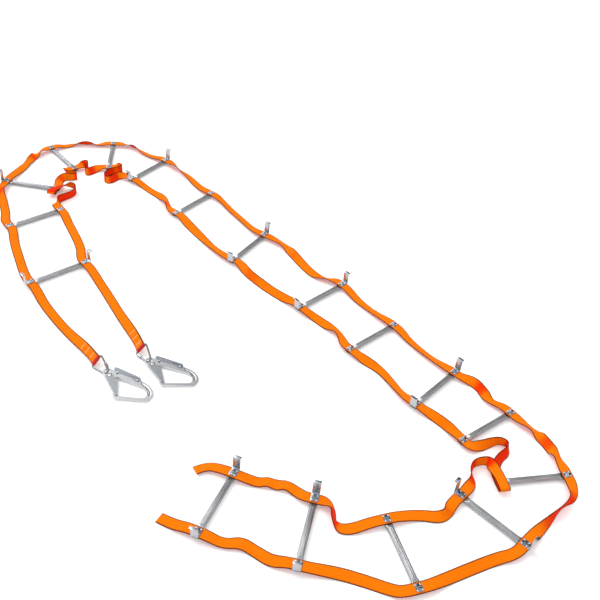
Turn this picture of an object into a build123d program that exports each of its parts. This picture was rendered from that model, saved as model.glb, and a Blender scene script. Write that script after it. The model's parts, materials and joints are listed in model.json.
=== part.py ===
import math
import os

from build123d import *

os.makedirs("parts", exist_ok=True)

# Escape rope ladder laid out on the floor. Millimetres, +Z up, the floor is Z = 0.

# Webbing straps
strap_width = 45.0
strap_thick = 3.0
sewn_thick = 6.0
sewn_length = 150.0
floor_gap = 0.2
split_gap = 0.3
split_reach = 24.0

# Rungs
tube_radius = 12.5
flute_radius = 11.9
bore_radius = 9.8
flute_points = 48
tube_half = 100.0
end_start = 117.0
end_stop = 157.5
end_width = 30.0
end_height = 11.0
end_corner = 4.0
slot_width = 25.0
slot_height = 6.0
slot_corner = 2.5
clamp_reach = 140.0

# Clamps
seat_gap = 0.1
plate_width = 31.0
plate_length = 27.0
plate_thick = 1.6
rib_offset = 3.7
rib_radius = 3.2
rib_hollow = 1.7
rivet_across = 10.5
rivet_along = 9.0
rivet_radius = 2.4
rivet_head = 4.2
rivet_dome = 2.2
rivet_tail = 1.8
hole_slack = 0.05

# Stand-off brackets
bracket_width = 30.0
bracket_thick = 2.0
bracket_reach = 23.2
bracket_height = 58.0
bracket_lip = 13.0

# Delta links
wire_radius = 4.0
link_half = 30.0
link_corner = 7.0
link_length = 78.0
apex_radius = 14.0
link_tilt = 46.0
eye_past_apex = 2.0
sleeve_flats = 12.0
sleeve_length = 22.0
sleeve_inset = 15.0
wire_gap = 6.0
loop_slack = 0.35
running_slack = 0.05

# Snap hooks, drawn flat with the eye at the origin, x along the gate and y towards the spine
hook_thick = 7.0
eye_radius = 14.5
ring_radius = 21.0
gate_pivot = (22.2, 4.5)
lever_pivot = (80.0, 105.0)
lever_pin = (14.4, 40.0)
gate_boss = 12.5
sheet_thick = 1.5
sheet_gap = 0.5
pivot_radius = 4.0
pin_radius = 2.5
hook_slope = 0.0505
hook_lean = 38.5
spring_radius = 0.8

rung_axis = tube_radius * math.cos(math.pi / flute_points)
seat_top = rung_axis + end_height / 2
strap_seat = seat_top + seat_gap + strap_thick / 2
strap_top = strap_seat + strap_thick / 2
foot_base = strap_top + 0.05
half_width = strap_width / 2

# Rung number: centre x, centre y, angle of the rung from the B strap towards the A strap
rungs = {
    1: (76, -1108, -108.5),
    2: (406, -1188, -98.5),
    3: (741, -1233, -68.5),
    4: (1076, -1053, -41),
    5: (1261, -843, 14),
    6: (1111, -598, 40),
    7: (911, -408, 50.5),
    8: (641, -123, 45),
    9: (396, 137, 47),
    10: (6, 472, 62),
    11: (-339, 827, 57),
    12: (-654, 1132, 60),
    13: (-904, 1247, 99),
    14: (-1164, 1157, 134),
    15: (-1239, 837, 176),
    16: (-1114, 527, 224),
    17: (-864, 97, 224),
}

# Strap routes after each rung, 0 being the free tail: x, y, roll in degrees, lift off the floor
route_a = {
    0: [(-114, -1188, 0, 0), (-64, -1211, 4, 2)],
    1: [(126, -1268, -8, 0), (186, -1263, 12, 12), (238, -1283, 5, 0), (294, -1318, 20, 2)],
    2: [(526, -1335, 18, 0), (616, -1353, 15, 0), (696, -1373, 12, 0)],
    3: [(896, -1308, 15, 0), (971, -1268, 25, 0), (1071, -1213, 20, 0)],
    4: [(1281, -1043, 60, 0), (1356, -958, 108, 0), (1406, -908, 40, 0)],
    5: [(1376, -718, 40, 0), (1356, -678, -45, 0), (1331, -633, -45, 0), (1301, -588, 45, 0)],
    6: [(1141, -445, 20, 0), (1116, -401, -55, 0), (1088, -351, -50, 0)],
    7: [(916, -223, 20, 0), (861, -168, 18, 0), (806, -101, 12, 0)],
    8: [(646, 67, 18, 0), (571, 147, 5, 0)],
    9: [(411, 279, 40, 0), (351, 307, -12, 0), (291, 382, -15, 0), (236, 452, -48, 0), (186, 532, 30, 0)],
    10: [(-9, 667, 12, 0), (-69, 739, 16, 0), (-129, 807, 15, 0), (-189, 887, 20, 0)],
    11: [(-349, 1027, 0, 0), (-429, 1127, 22, 0), (-502, 1185, 55, 0)],
    12: [(-676, 1302, 8, 0), (-739, 1337, 20, 0), (-789, 1375, 58, 0), (-836, 1395, 30, 0)],
    13: [
        (-1014, 1367, 14, 0),
        (-1064, 1359, 58, 0),
        (-1107, 1352, 52, 0),
        (-1149, 1347, 16, 0),
        (-1192, 1317, 0, 0),
    ],
    14: [(-1312, 1187, 50, 0), (-1326, 1132, -58, 0), (-1342, 1077, 15, 0), (-1349, 1002, -20, 0)],
    15: [(-1376, 759, 50, 0), (-1362, 712, 30, 0), (-1326, 645, 5, 0), (-1282, 557, 0, 0)],
    16: [(-1154, 317, 0, 0), (-1094, 207, 0, 0), (-1036, 102, 0, 0)],
    17: [(-869, -116, 0, 1), (-782, -215, 0, 2), (-696, -301, 0, 2)],
}

route_b = {
    0: [(-24, -973, -8, 2), (16, -945, -10, 4)],
    1: [
        (216, -995, 5, 0),
        (248, -993, -5, 14),
        (284, -999, 10, 0),
        (320, -999, -5, 14),
        (361, -1018, 5, 2),
    ],
    2: [(498, -1088, -62, 0), (498, -1133, -60, 0), (523, -1155, 0, 0), (566, -1155, 8, 4)],
    3: [(816, -1061, 10, 0), (876, -1068, 18, 3), (914, -1053, 50, 0)],
    4: [
        (1026, -886, 55, 0),
        (1018, -845, 72, 0),
        (1029, -809, 80, 0),
        (1060, -789, 80, 0),
        (1088, -789, 80, 4),
        (1100, -813, 30, 22),
    ],
    5: [
        (1124, -791, 40, 0),
        (1146, -755, 55, 0),
        (1178, -725, 62, 0),
        (1186, -689, 80, 0),
        (1154, -671, 90, 0),
        (1116, -686, 112, 0),
        (1076, -705, 140, 0),
    ],
    6: [(944, -615, -40, 0), (898, -571, -30, 0)],
    7: [(761, -451, 20, 0), (719, -383, 12, 0), (676, -318, 0, 0), (614, -283, -35, 0)],
    8: [(504, -143, 22, 0), (478, -101, 30, 3), (431, -71, -22, 0), (374, -18, -12, 0)],
    9: [(218, 92, -35, 0), (146, 149, -22, 0), (76, 202, -50, 0), (24, 257, -42, 0)],
    10: [(-174, 442, 18, 0), (-259, 542, -10, 0), (-334, 622, -35, 0)],
    11: [(-476, 789, 58, 0), (-526, 869, -18, 0), (-586, 915, 0, 0), (-646, 967, 0, 0)],
    12: [
        (-806, 1027, -55, 0),
        (-824, 982, -60, 0),
        (-854, 955, -80, 0),
        (-882, 992, -90, 0),
        (-867, 1042, -88, 0),
        (-842, 1069, -90, 0),
        (-814, 1085, -90, 0),
        (-800, 1107, -90, 1),
        (-820, 1120, -86, 2),
    ],
    13: [
        (-954, 1067, -45, 0),
        (-976, 1025, -65, 0),
        (-1000, 1029, -88, 0),
        (-1000, 1073, -90, 0),
        (-998, 1109, -90, 1),
        (-1018, 1117, -90, 1),
    ],
    14: [
        (-1102, 1002, -60, 0),
        (-1079, 979, -85, 0),
        (-1042, 989, -90, 0),
        (-1022, 969, -90, 0),
        (-1044, 949, -90, 0),
        (-1089, 952, -60, 0),
        (-1112, 915, -30, 0),
    ],
    15: [
        (-1084, 814, -12, 25),
        (-1062, 839, -26, 25),
        (-1034, 863, -70, 8),
        (-1006, 859, -88, 0),
        (-988, 829, -90, 0),
        (-992, 782, -90, 0),
        (-1024, 747, -90, 0),
        (-1054, 712, -75, 0),
    ],
    16: [(-949, 537, 0, 0), (-904, 467, 0, 0), (-824, 335, 0, 0)],
    17: [(-664, 79, 0, 1), (-586, -31, 2, 2), (-509, -143, 0, 2)],
}

# Rungs with a long lead into or out of the clamp, where a strap is split for folding
lead_in = {3: 60.0, 4: 60.0, 16: 60.0}
lead_out = {17: 60.0}
short_lead = 40.0

# Rungs that carry stand-off brackets
brackets_a = [1, 2, 4, 7, 9, 10, 12, 15, 17]
brackets_b = [1, 2, 4, 7, 9, 10, 12, 17]

# Hook ends: bar centre x, y, z, heading of the link, eye height, heading of the gate, sleeve side
hook_ends = {
    "a": {"bar": (-526, -474, 27.0), "link": -40.0, "eye_z": 15.5, "gate": -63.0, "side": -1, "near": False},
    "b": {"bar": (-360, -374, 30.0), "link": -50.0, "eye_z": 15.5, "gate": -56.0, "side": 1, "near": True},
}


def heading_vector(angle):
    return Vector(math.cos(math.radians(angle)), math.sin(math.radians(angle)), 0)


def clamp_at(number, strap, along=0.0, rise=0.0):
    x, y, angle = rungs[number]
    reach = clamp_reach if strap == "a" else -clamp_reach
    out = heading_vector(angle)
    travel = heading_vector(angle + 90)
    return Vector(x, y, strap_seat + rise) + out * reach + travel * along


def link_plane(end):
    spec = hook_ends[end]
    bar = Vector(*spec["bar"])
    length = link_length + eye_past_apex
    drop = spec["bar"][2] - spec["eye_z"]
    flat = math.sqrt(length * length - drop * drop)
    forward = (heading_vector(spec["link"]) * flat - Vector(0, 0, drop)).normalized()
    right = heading_vector(spec["link"] - 90)
    upright = right.cross(forward)
    tilt = math.radians(link_tilt)
    across = right * math.cos(tilt) - upright * math.sin(tilt)
    return Plane(origin=bar, x_dir=across, z_dir=across.cross(forward))


def loop_forward(end):
    return Vector(0, 0, 1).cross(link_plane(end).x_dir).normalized()


def hook_plane(end):
    spec = hook_ends[end]
    plane = link_plane(end)
    eye = plane.origin + plane.y_dir * (link_length + eye_past_apex)
    lean = heading_vector(spec["gate"] + hook_lean) * hook_slope
    normal = Vector(lean.X, lean.Y, 1).normalized()
    gate = heading_vector(spec["gate"])
    gate = (gate - normal * gate.dot(normal)).normalized()
    return Plane(origin=eye, x_dir=gate, z_dir=normal)


def controls(strap, first, last):
    """Control points of a strap from rung first to rung last, each a position and the left edge."""
    route = route_a if strap == "a" else route_b
    spots = []
    for number in range(first, last + 1):
        if number > 0:
            if strap == "b" and number == 5:
                for along, rise in ((10, 16), (-34, 16), (-50, 16)):
                    spots.append((clamp_at(5, "b", along, rise), 0, None))
                for along in (-50, -34, 0, short_lead):
                    spots.append((clamp_at(5, "b", along), 180, None))
            else:
                spots.append((clamp_at(number, strap, -lead_in.get(number, short_lead)), 0, None))
                spots.append((clamp_at(number, strap), 0, None))
                if strap == "b" and number == 15:
                    spots.append((clamp_at(15, "b", 45), 0, None))
                    spots.append((clamp_at(15, "b", 72), 0, None))
                    spots.append((clamp_at(15, "b", 72, 18), 180, None))
                    spots.append((clamp_at(15, "b", 50, 18), 180, None))
                else:
                    reach = lead_out.get(number, short_lead)
                    spots.append((clamp_at(number, strap, reach), 0, None))
        if number < last or number == 17:
            turned = 180 if strap == "b" and number in (5, 15) else 0
            for x, y, roll, lift in route[number]:
                spots.append((Vector(x, y, 0), roll + turned, lift))
    return spots


def with_edges(spots):
    """Adds heights to the floor points and works out the left-edge direction of every point."""
    points = []
    for spot, roll, lift in spots:
        turn = math.radians(roll)
        if lift is not None:
            rest = abs(math.cos(turn)) * strap_thick / 2 + abs(math.sin(turn)) * half_width
            spot = Vector(spot.X, spot.Y, rest + lift + floor_gap)
        points.append(spot)
    edged = []
    for index, spot in enumerate(points):
        before = points[max(index - 1, 0)]
        after = points[min(index + 1, len(points) - 1)]
        ahead = Vector(after.X - before.X, after.Y - before.Y, 0).normalized()
        left = Vector(-ahead.Y, ahead.X, 0)
        turn = math.radians(spots[index][1])
        edged.append((spot, left * math.cos(turn) + Vector(0, 0, 1) * math.sin(turn)))
    return edged


def trimmed(edged, number, strap, start=None, stop=None):
    """Ends a control list squarely at a split beside a clamp."""
    centre = clamp_at(number, strap)
    index = min(range(len(edged)), key=lambda k: (edged[k][0] - centre).length)
    if stop is not None:
        kept = edged[:index] if stop < 0 else edged[: index + 1]
        return kept + [(clamp_at(number, strap, stop), edged[index][1])]
    kept = edged[index:] if start < 0 else edged[index + 1 :]
    return [(clamp_at(number, strap, start), edged[index][1])] + kept


def stations(edged, step=26.0):
    """Samples the smooth curve through a control list: centre, forward and left at each station."""
    spans = []
    last = len(edged) - 1
    half = [((edged[k][0] + edged[k + 1][0]) * 0.5, (edged[k][1] + edged[k + 1][1]) * 0.5) for k in range(last)]
    spans.append((edged[0], half[0], half[0]))
    for k in range(1, last):
        spans.append((half[k - 1], edged[k], half[k]))
    spans.append((half[last - 1], half[last - 1], edged[last]))
    found = []
    for number, (start, middle, stop) in enumerate(spans):
        if number == 0:
            middle = ((start[0] + stop[0]) * 0.5, (start[1] + stop[1]) * 0.5)
        if number == len(spans) - 1:
            middle = ((start[0] + stop[0]) * 0.5, (start[1] + stop[1]) * 0.5)
        length = (middle[0] - start[0]).length + (stop[0] - middle[0]).length
        chord = (stop[0] - start[0]).length
        turning = (stop[1] - start[1]).length + (stop[0] - middle[0]).normalized().cross(
            (middle[0] - start[0]).normalized()
        ).length
        straight = length - chord < 0.01 and turning < 0.02
        count = 1 if straight else max(2, math.ceil(length / step), math.ceil(turning / 0.3))
        for piece in range(count + 1):
            if piece == 0 and found:
                continue
            u = piece / count
            a, b, c = (1 - u) ** 2, 2 * u * (1 - u), u * u
            centre = start[0] * a + middle[0] * b + stop[0] * c
            left = start[1] * a + middle[1] * b + stop[1] * c
            forward = (middle[0] - start[0]) * (1 - u) + (stop[0] - middle[0]) * u
            forward = forward.normalized()
            left = (left - forward * left.dot(forward)).normalized()
            found.append((centre, forward, left))
    return found


def grounded(found, thick):
    """Raises each station until its lower edge clears the floor."""
    raised = []
    for centre, forward, left in found:
        normal = forward.cross(left)
        needed = abs(left.Z) * half_width + abs(normal.Z) * thick / 2 + floor_gap
        raised.append((Vector(centre.X, centre.Y, max(centre.Z, needed)), forward, left))
    return raised


def rivet_spots(number, strap):
    out = heading_vector(rungs[number][2])
    travel = heading_vector(rungs[number][2] + 90)
    centre = clamp_at(number, strap)
    spots = []
    for i in (-1, 1):
        for j in (-1, 1):
            spots.append(centre + out * (i * rivet_across) + travel * (j * rivet_along))
    return spots


def band(found, thicks, clamps, stretch=30):
    """A webbing solid through the stations, with rivet holes at the listed clamps."""
    sections = list(zip(found, thicks))
    with BuildPart() as strap:
        for first in range(0, len(sections) - 1, stretch):
            with BuildPart(mode=Mode.PRIVATE) as run:
                for (centre, forward, left), thick in sections[first : first + stretch + 1]:
                    with BuildSketch(Plane(origin=centre, x_dir=left, z_dir=forward)):
                        Rectangle(strap_width, thick)
                loft(ruled=True, clean=False)
            add(run.part, clean=False)
        for number, side in clamps:
            with Locations(*[Location(spot) for spot in rivet_spots(number, side)]):
                Cylinder(rivet_radius + hole_slack, strap_thick * 3, mode=Mode.SUBTRACT)
    return strap


def strap_piece(strap, first, last, start=None, stop=None):
    edged = with_edges(controls(strap, first, last))
    if start is not None:
        edged = trimmed(edged, start[0], strap, start=start[1])
    if stop is not None:
        edged = trimmed(edged, stop[0], strap, stop=stop[1])
    return edged


near = split_reach - split_gap / 2
far = split_reach + split_gap / 2

strap_controls = {}
for strap in ("a", "b"):
    strap_controls["tail_" + strap] = strap_piece(strap, 0, 3, stop=(3, -far))
    strap_controls["third_" + strap] = strap_piece(strap, 3, 4, start=(3, -near), stop=(4, -far))
    strap_controls["main_" + strap] = strap_piece(strap, 4, 10, start=(4, -near), stop=(10, -far))
    strap_controls["high_" + strap] = strap_piece(strap, 10, 16, start=(10, -near), stop=(16, -far))
    upper = with_edges(controls(strap, 16, 17))
    upper = trimmed(upper, 17, strap, stop=near)
    strap_controls["head_" + strap] = trimmed(upper, 16, strap, start=-near)
    leg = trimmed(with_edges(controls(strap, 17, 17)), 17, strap, start=far)
    bar = link_plane(strap).origin
    ahead = loop_forward(strap)
    left = link_plane(strap).x_dir * -1
    leg.append((bar - ahead * 78, left))
    leg.append((bar - ahead * 30, left))
    strap_controls["leg_" + strap] = leg

piece_clamps = {
    "tail": [1, 2],
    "third": [3],
    "main": list(range(4, 10)),
    "high": list(range(10, 16)),
    "head": [16, 17],
    "leg": [],
}

# Solids


def save(builder, name):
    builder.part.label = name
    export_step(builder.part, "parts/" + name + ".step")


def rivet_solid(shaft, low, high, top_head, top_rise, low_head, low_rise):
    """A rivet on the Z axis with a bevelled head above high and a flatter head below low."""
    with BuildPart() as rivet:
        with BuildSketch(Plane.XY.offset(low)):
            Circle(shaft)
        extrude(amount=high - low)
        with BuildSketch(Plane.XY.offset(high)):
            Circle(top_head)
        extrude(amount=top_rise)
        with BuildSketch(Plane.XY.offset(low)):
            Circle(low_head)
        extrude(amount=-low_rise)
        chamfer(rivet.edges().sort_by(Axis.Z)[-1], top_rise * 0.7)
        chamfer(rivet.edges().sort_by(Axis.Z)[0], low_rise * 0.7)
    return rivet


# Webbing pieces
for name, edged in strap_controls.items():
    piece, strap = name.split("_")
    if piece == "leg":
        continue
    found = grounded(stations(edged), strap_thick)
    clamps = [(number, strap) for number in piece_clamps[piece]]
    save(band(found, [strap_thick] * len(found), clamps), "strap_" + name)

# Legs: single webbing that is folded round the link's base bar and sewn back on itself
for strap in ("a", "b"):
    found = stations(strap_controls["leg_" + strap])
    left_over = 30.0
    step_at = len(found) - 1
    while left_over < sewn_length:
        left_over += (found[step_at][0] - found[step_at - 1][0]).length
        step_at -= 1
    centre, forward, left = found[step_at]
    found.insert(step_at + 1, (centre + forward * 0.6, forward, left))
    thicks = [strap_thick] * (step_at + 1) + [sewn_thick] * (len(found) - step_at - 1)
    single = grounded(found[: step_at + 1], strap_thick)
    double = grounded(found[step_at + 1 :], sewn_thick)
    leg = band(single + double, thicks, [])
    plane = link_plane(strap)
    ahead = loop_forward(strap)
    loop_plane = Plane(origin=plane.origin, x_dir=ahead, z_dir=plane.x_dir)
    with BuildPart() as sewn:
        add(leg.part)
        with BuildSketch(loop_plane):
            Circle(wire_radius + loop_slack + strap_thick)
            with Locations((-29.1, 0)):
                Rectangle(2.2, sewn_thick)
            make_hull()
        extrude(amount=half_width, both=True)
        with BuildSketch(loop_plane):
            Circle(wire_radius + loop_slack)
            with Locations((-18, 0)):
                Circle(0.3)
            make_hull()
        extrude(amount=half_width + 1, both=True, mode=Mode.SUBTRACT)
    save(sewn, "strap_leg_" + strap)


# Rungs: fluted tube, flattened and open at both ends, drilled for the clamp rivets
def ring_points(radii, count, across=0.0, up=0.0):
    """Points of a rounded rectangle or circle, every other one on the smaller radius."""
    points = []
    for k in range(count):
        angle = 2 * math.pi * (k + 0.5) / count
        radius = radii[k % 2]
        y = math.copysign(across, math.cos(angle)) + radius * math.cos(angle)
        z = math.copysign(up, math.sin(angle)) + radius * math.sin(angle)
        points.append((y, z))
    return points


tube_profile = ring_points((tube_radius, flute_radius), flute_points)
end_profile = ring_points(
    (end_corner, end_corner),
    flute_points,
    end_width / 2 - end_corner,
    end_height / 2 - end_corner,
)
bore_profile = ring_points((bore_radius, bore_radius), flute_points)
slot_profile = ring_points(
    (slot_corner, slot_corner),
    flute_points,
    slot_width / 2 - slot_corner,
    slot_height / 2 - slot_corner,
)


def rung_shape(round_profile, flat_profile, spill):
    with BuildPart() as shape:
        with BuildSketch(Plane.YZ.offset(-tube_half)):
            Polygon(*round_profile, align=None)
        extrude(amount=2 * tube_half)
        for side in (-1, 1):
            with BuildSketch(Plane.YZ.offset(side * tube_half)):
                Polygon(*round_profile, align=None)
            with BuildSketch(Plane.YZ.offset(side * end_start)):
                Polygon(*flat_profile, align=None)
            loft(ruled=True, clean=False)
            with BuildSketch(Plane.YZ.offset(side * end_start)):
                Polygon(*flat_profile, align=None)
            extrude(amount=side * (end_stop + spill - end_start))
    return shape


rung_outside = rung_shape(tube_profile, end_profile, 0.0)
rung_inside = rung_shape(bore_profile, slot_profile, 5.0)
with BuildPart() as rung_master:
    add(rung_outside.part)
    add(rung_inside.part, mode=Mode.SUBTRACT)
    for side in (-1, 1):
        for i in (-1, 1):
            for j in (-1, 1):
                with Locations((side * clamp_reach + i * rivet_across, j * rivet_along, 0)):
                    Cylinder(rivet_radius + hole_slack, end_height * 2, mode=Mode.SUBTRACT)

for number, (x, y, angle) in rungs.items():
    with BuildPart() as rung:
        with Locations(Location((x, y, rung_axis), (0, 0, angle))):
            add(rung_master.part)
    save(rung, "rung_{:02d}".format(number))

# Clamp plate: two ribs along the strap between four rivets
with BuildPart() as plate_master:
    with BuildSketch(Plane.XZ):
        with Locations((0, plate_thick / 2)):
            Rectangle(plate_width, plate_thick)
        with Locations((-rib_offset, 0), (rib_offset, 0)):
            Circle(rib_radius)
        with Locations((0, -plate_width / 2)):
            Rectangle(plate_width, plate_width, mode=Mode.SUBTRACT)
        with Locations((-rib_offset, 0), (rib_offset, 0)):
            Circle(rib_hollow, mode=Mode.SUBTRACT)
    extrude(amount=plate_length / 2, both=True)
    for i in (-1, 1):
        for j in (-1, 1):
            with Locations((i * rivet_across, j * rivet_along, 0)):
                Cylinder(rivet_radius + hole_slack, plate_thick * 4, mode=Mode.SUBTRACT)

# Stand-off bracket: foot under the clamp plate, upright at the strap's outer edge, wall lip
upright_line = bracket_reach + bracket_thick / 2
lip_line = bracket_height - bracket_thick / 2
with BuildPart() as bracket_master:
    with BuildSketch(Plane.XZ):
        with BuildLine():
            spine = FilletPolyline(
                (-plate_width / 2, bracket_thick / 2),
                (upright_line, bracket_thick / 2),
                (upright_line, lip_line),
                (upright_line + bracket_lip, lip_line),
                radius=2.5,
            )
        trace(line_width=bracket_thick)
    extrude(amount=bracket_width / 2, both=True)
    for i in (-1, 1):
        for j in (-1, 1):
            with Locations((i * rivet_across, j * rivet_along, 0)):
                Cylinder(rivet_radius + hole_slack, bracket_thick * 3, mode=Mode.SUBTRACT)

plain_rivet = rivet_solid(
    rivet_radius,
    rung_axis - end_height / 2 - 0.05,
    foot_base + plate_thick + 0.05,
    rivet_head,
    rivet_dome,
    rivet_head,
    rivet_tail,
)
tall_rivet = rivet_solid(
    rivet_radius,
    rung_axis - end_height / 2 - 0.05,
    foot_base + bracket_thick + 0.05 + plate_thick + 0.05,
    rivet_head,
    rivet_dome,
    rivet_head,
    rivet_tail,
)

groups = {"main": range(4, 16), "third": [3], "tail": [1, 2], "head": [16, 17]}
for group, numbers in groups.items():
    with BuildPart() as plates:
        for number in numbers:
            for strap, listed in (("a", brackets_a), ("b", brackets_b)):
                spot = clamp_at(number, strap)
                lift = bracket_thick + 0.05 if number in listed else 0.0
                turn = rungs[number][2]
                with Locations(Location((spot.X, spot.Y, foot_base + lift), (0, 0, turn))):
                    add(plate_master.part)
    save(plates, "clamps_" + group)
    with BuildPart() as rivets:
        for number in numbers:
            for strap, listed in (("a", brackets_a), ("b", brackets_b)):
                chosen = tall_rivet if number in listed else plain_rivet
                spots = [Location((spot.X, spot.Y, 0)) for spot in rivet_spots(number, strap)]
                with Locations(*spots):
                    add(chosen.part)
    save(rivets, "rivets_" + group)
    if group == "third":
        continue
    with BuildPart() as brackets:
        for number in numbers:
            for strap, listed, half_turn in (("a", brackets_a, 0), ("b", brackets_b, 180)):
                if number not in listed:
                    continue
                spot = clamp_at(number, strap)
                turn = rungs[number][2] + half_turn
                with Locations(Location((spot.X, spot.Y, foot_base), (0, 0, turn))):
                    add(bracket_master.part)
    save(brackets, "brackets_" + group)


# Delta link: base bar at the origin along x, apex towards +y, the wire open inside its sleeve
def link_leg(side):
    """Start and stop of a leg's straight part, and its direction from base to apex."""
    corner = Vector(side * (link_half - link_corner), link_corner, 0)
    apex = Vector(0, link_length - apex_radius, 0)
    span = apex - corner
    angle = math.atan2(span.Y, side * span.X) - math.acos((link_corner - apex_radius) / span.length)
    outward = Vector(side * math.cos(angle), math.sin(angle), 0)
    start = corner + outward * link_corner
    stop = apex + outward * apex_radius
    return start, stop, (stop - start).normalized(), math.degrees(angle)


def link_parts(side, near_base):
    start, stop, way, angle = link_leg(side)
    long = (stop - start).length
    middle = sleeve_inset if near_base else long - sleeve_inset
    low = start + way * (middle - wire_gap / 2)
    high = start + way * (middle + wire_gap / 2)
    other_start, other_stop, other_way, _ = link_leg(-side)
    apex = Vector(0, link_length - apex_radius, 0)
    corner = Vector(side * (link_half - link_corner), link_corner, 0)
    bend = math.radians((angle - 90) / 2)
    corner_mid = corner + Vector(side * math.cos(bend), math.sin(bend), 0) * link_corner
    other_mid = Vector(-corner_mid.X, corner_mid.Y, 0)
    with BuildPart() as wire:
        with BuildLine() as path:
            Line(high, stop)
            ThreePointArc(stop, apex + Vector(0, apex_radius, 0), other_stop)
            Line(other_stop, other_start)
            ThreePointArc(other_start, other_mid, Vector(-side * (link_half - link_corner), 0, 0))
            Line((-side * (link_half - link_corner), 0), (side * (link_half - link_corner), 0))
            ThreePointArc((side * (link_half - link_corner), 0), corner_mid, start)
            Line(start, low)
        with BuildSketch(Plane(origin=high, z_dir=way)):
            Circle(wire_radius)
        sweep(path=path.line)
    centre = start + way * middle
    with BuildPart() as sleeve:
        with BuildSketch(Plane(origin=centre, x_dir=(0, 0, 1), z_dir=way)):
            RegularPolygon(sleeve_flats / 2, 6, major_radius=False)
            Circle(wire_radius + running_slack, mode=Mode.SUBTRACT)
        extrude(amount=sleeve_length / 2, both=True)
    return wire, sleeve


for end, spec in hook_ends.items():
    wire, sleeve = link_parts(spec["side"], spec["near"])
    with BuildPart() as link:
        with Locations(link_plane(end)):
            add(wire.part)
    save(link, "link_" + end)
    with BuildPart() as nut:
        with Locations(link_plane(end)):
            add(sleeve.part)
    save(nut, "sleeve_" + end)

# Hook body
with BuildPart() as body_master:
    with BuildSketch():
        with BuildLine():
            Line((-14.85, 14.85), (86, 116))
            Spline(
                (86, 116),
                (116, 139),
                (153, 150),
                (186, 139),
                (200, 104),
                tangents=((1, 1), (-0.42, -0.91)),
            )
            Line((200, 104), (154, 4))
            Polyline((154, 4), (151, -7), (126, -10.5), (123, -3), (141, -0.6), (143, 11))
            Line((143, 11), (180, 97))
            Spline(
                (180, 97),
                (175, 117),
                (153, 125),
                (131, 119),
                (113, 105),
                tangents=((0.395, 0.919), (-1, -1)),
            )
            Polyline((113, 105), (42, 34), (34, 8), (0, 0), (-14.85, 14.85))
        make_face()
        Circle(ring_radius)
        with Locations(gate_pivot):
            Circle(gate_boss)
        Circle(eye_radius, mode=Mode.SUBTRACT)
        with Locations(gate_pivot):
            Circle(pivot_radius + running_slack, mode=Mode.SUBTRACT)
        with Locations(lever_pivot):
            Circle(pin_radius + running_slack, mode=Mode.SUBTRACT)
        with BuildSketch(mode=Mode.PRIVATE) as notch:
            with Locations((7, 47), (21.5, 33.0)):
                Circle(3.4)
            make_hull()
        add(notch.sketch, mode=Mode.SUBTRACT)
    extrude(amount=hook_thick / 2, both=True)
    for side in (-1, 1):
        with BuildSketch(Plane.XY.offset(side * hook_thick / 2)):
            with BuildLine():
                Spline((105, 117), (128, 132), (153, 137.5), (178, 129), (189, 106))
            trace(line_width=8)
        extrude(amount=-side * 0.8, mode=Mode.SUBTRACT)

# Gate: a folded channel that straddles the body
flange_low = hook_thick / 2 + sheet_gap
flange_high = flange_low + sheet_thick
gate_edge = [(20, -15), (34, -13.5), (70, -9), (104, -3.5), (138.5, 0.6)]
gate_inside = [(138.5, 2.1), (104, -2), (70, -7.5), (34, -12), (20, -13.5)]
gate_under = [(138, 9), (112, 15), (86, 21), (64, 27), (48, 27), (36, 21), (24, 16), (15, 12.5), (12.2, 4.5), (14, -4)]
with BuildPart() as gate_master:
    with BuildSketch(Plane.XY.offset(-flange_high)):
        Polygon(*gate_edge, *gate_inside, align=None)
    extrude(amount=2 * flange_high)
    for base in (-flange_high, flange_low):
        with BuildSketch(Plane.XY.offset(base)):
            Polygon(*gate_edge, *gate_under, align=None)
            with Locations(gate_pivot):
                Circle(pivot_radius + running_slack, mode=Mode.SUBTRACT)
        extrude(amount=sheet_thick)

# Lever: a folded channel along the back of the spine, with its latch pin
lever_back = [(-17, 37), (-14, 42), (70, 120.5), (78, 120)]
lever_front = [(86, 115), (90, 108), (87, 100), (74, 92), (54, 80), (29, 54), (10, 36), (-6, 26)]
lever_inside = [(70, 118.5), (-13, 40.2), (-15.9, 36)]
with BuildPart() as lever_master:
    with BuildSketch(Plane.XY.offset(-flange_high)):
        Polygon((-17, 37), (-14, 42), (70, 120.5), *lever_inside, align=None)
    extrude(amount=2 * flange_high)
    for base in (-flange_high, flange_low):
        with BuildSketch(Plane.XY.offset(base)):
            Polygon(*lever_back, *lever_front, align=None)
            with Locations(lever_pivot):
                Circle(pin_radius + running_slack, mode=Mode.SUBTRACT)
            with Locations(lever_pin):
                Circle(pin_radius + running_slack, mode=Mode.SUBTRACT)
        extrude(amount=sheet_thick)

rivet_face = flange_high + 0.1
gate_rivet = rivet_solid(pivot_radius, -rivet_face, rivet_face, 8.5, 3.0, 6.5, 1.8)
lever_rivet = rivet_solid(pin_radius, -rivet_face, rivet_face, 5.0, 1.8, 5.0, 1.4)
latch_rivet = rivet_solid(pin_radius, -rivet_face, rivet_face, 4.4, 1.6, 4.4, 1.4)


def spring_wire(centre, radius, first, sweep_angle, leg_end):
    """An open turn of wire round a pivot with one straight leg along the sheet."""
    level = flange_high + 0.1 + spring_radius
    with BuildPart() as spring:
        with BuildLine(Plane.XY.offset(level)) as path:
            turn = CenterArc(centre, radius, first, sweep_angle)
            Line(turn @ 1, leg_end)
        with BuildSketch(Plane(origin=path.line @ 0, z_dir=path.line % 0)):
            Circle(spring_radius)
        sweep(path=path.line)
    return spring


gate_spring_master = spring_wire(gate_pivot, 10.0, 240, -150, (72, 14.5))
reach = 40.0 * math.sqrt(0.5)
lever_spring_master = spring_wire(
    lever_pivot,
    7.0,
    -15,
    150,
    (lever_pivot[0] - 7.0 * math.sqrt(0.5) - reach, lever_pivot[1] + 7.0 * math.sqrt(0.5) - reach),
)

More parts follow.
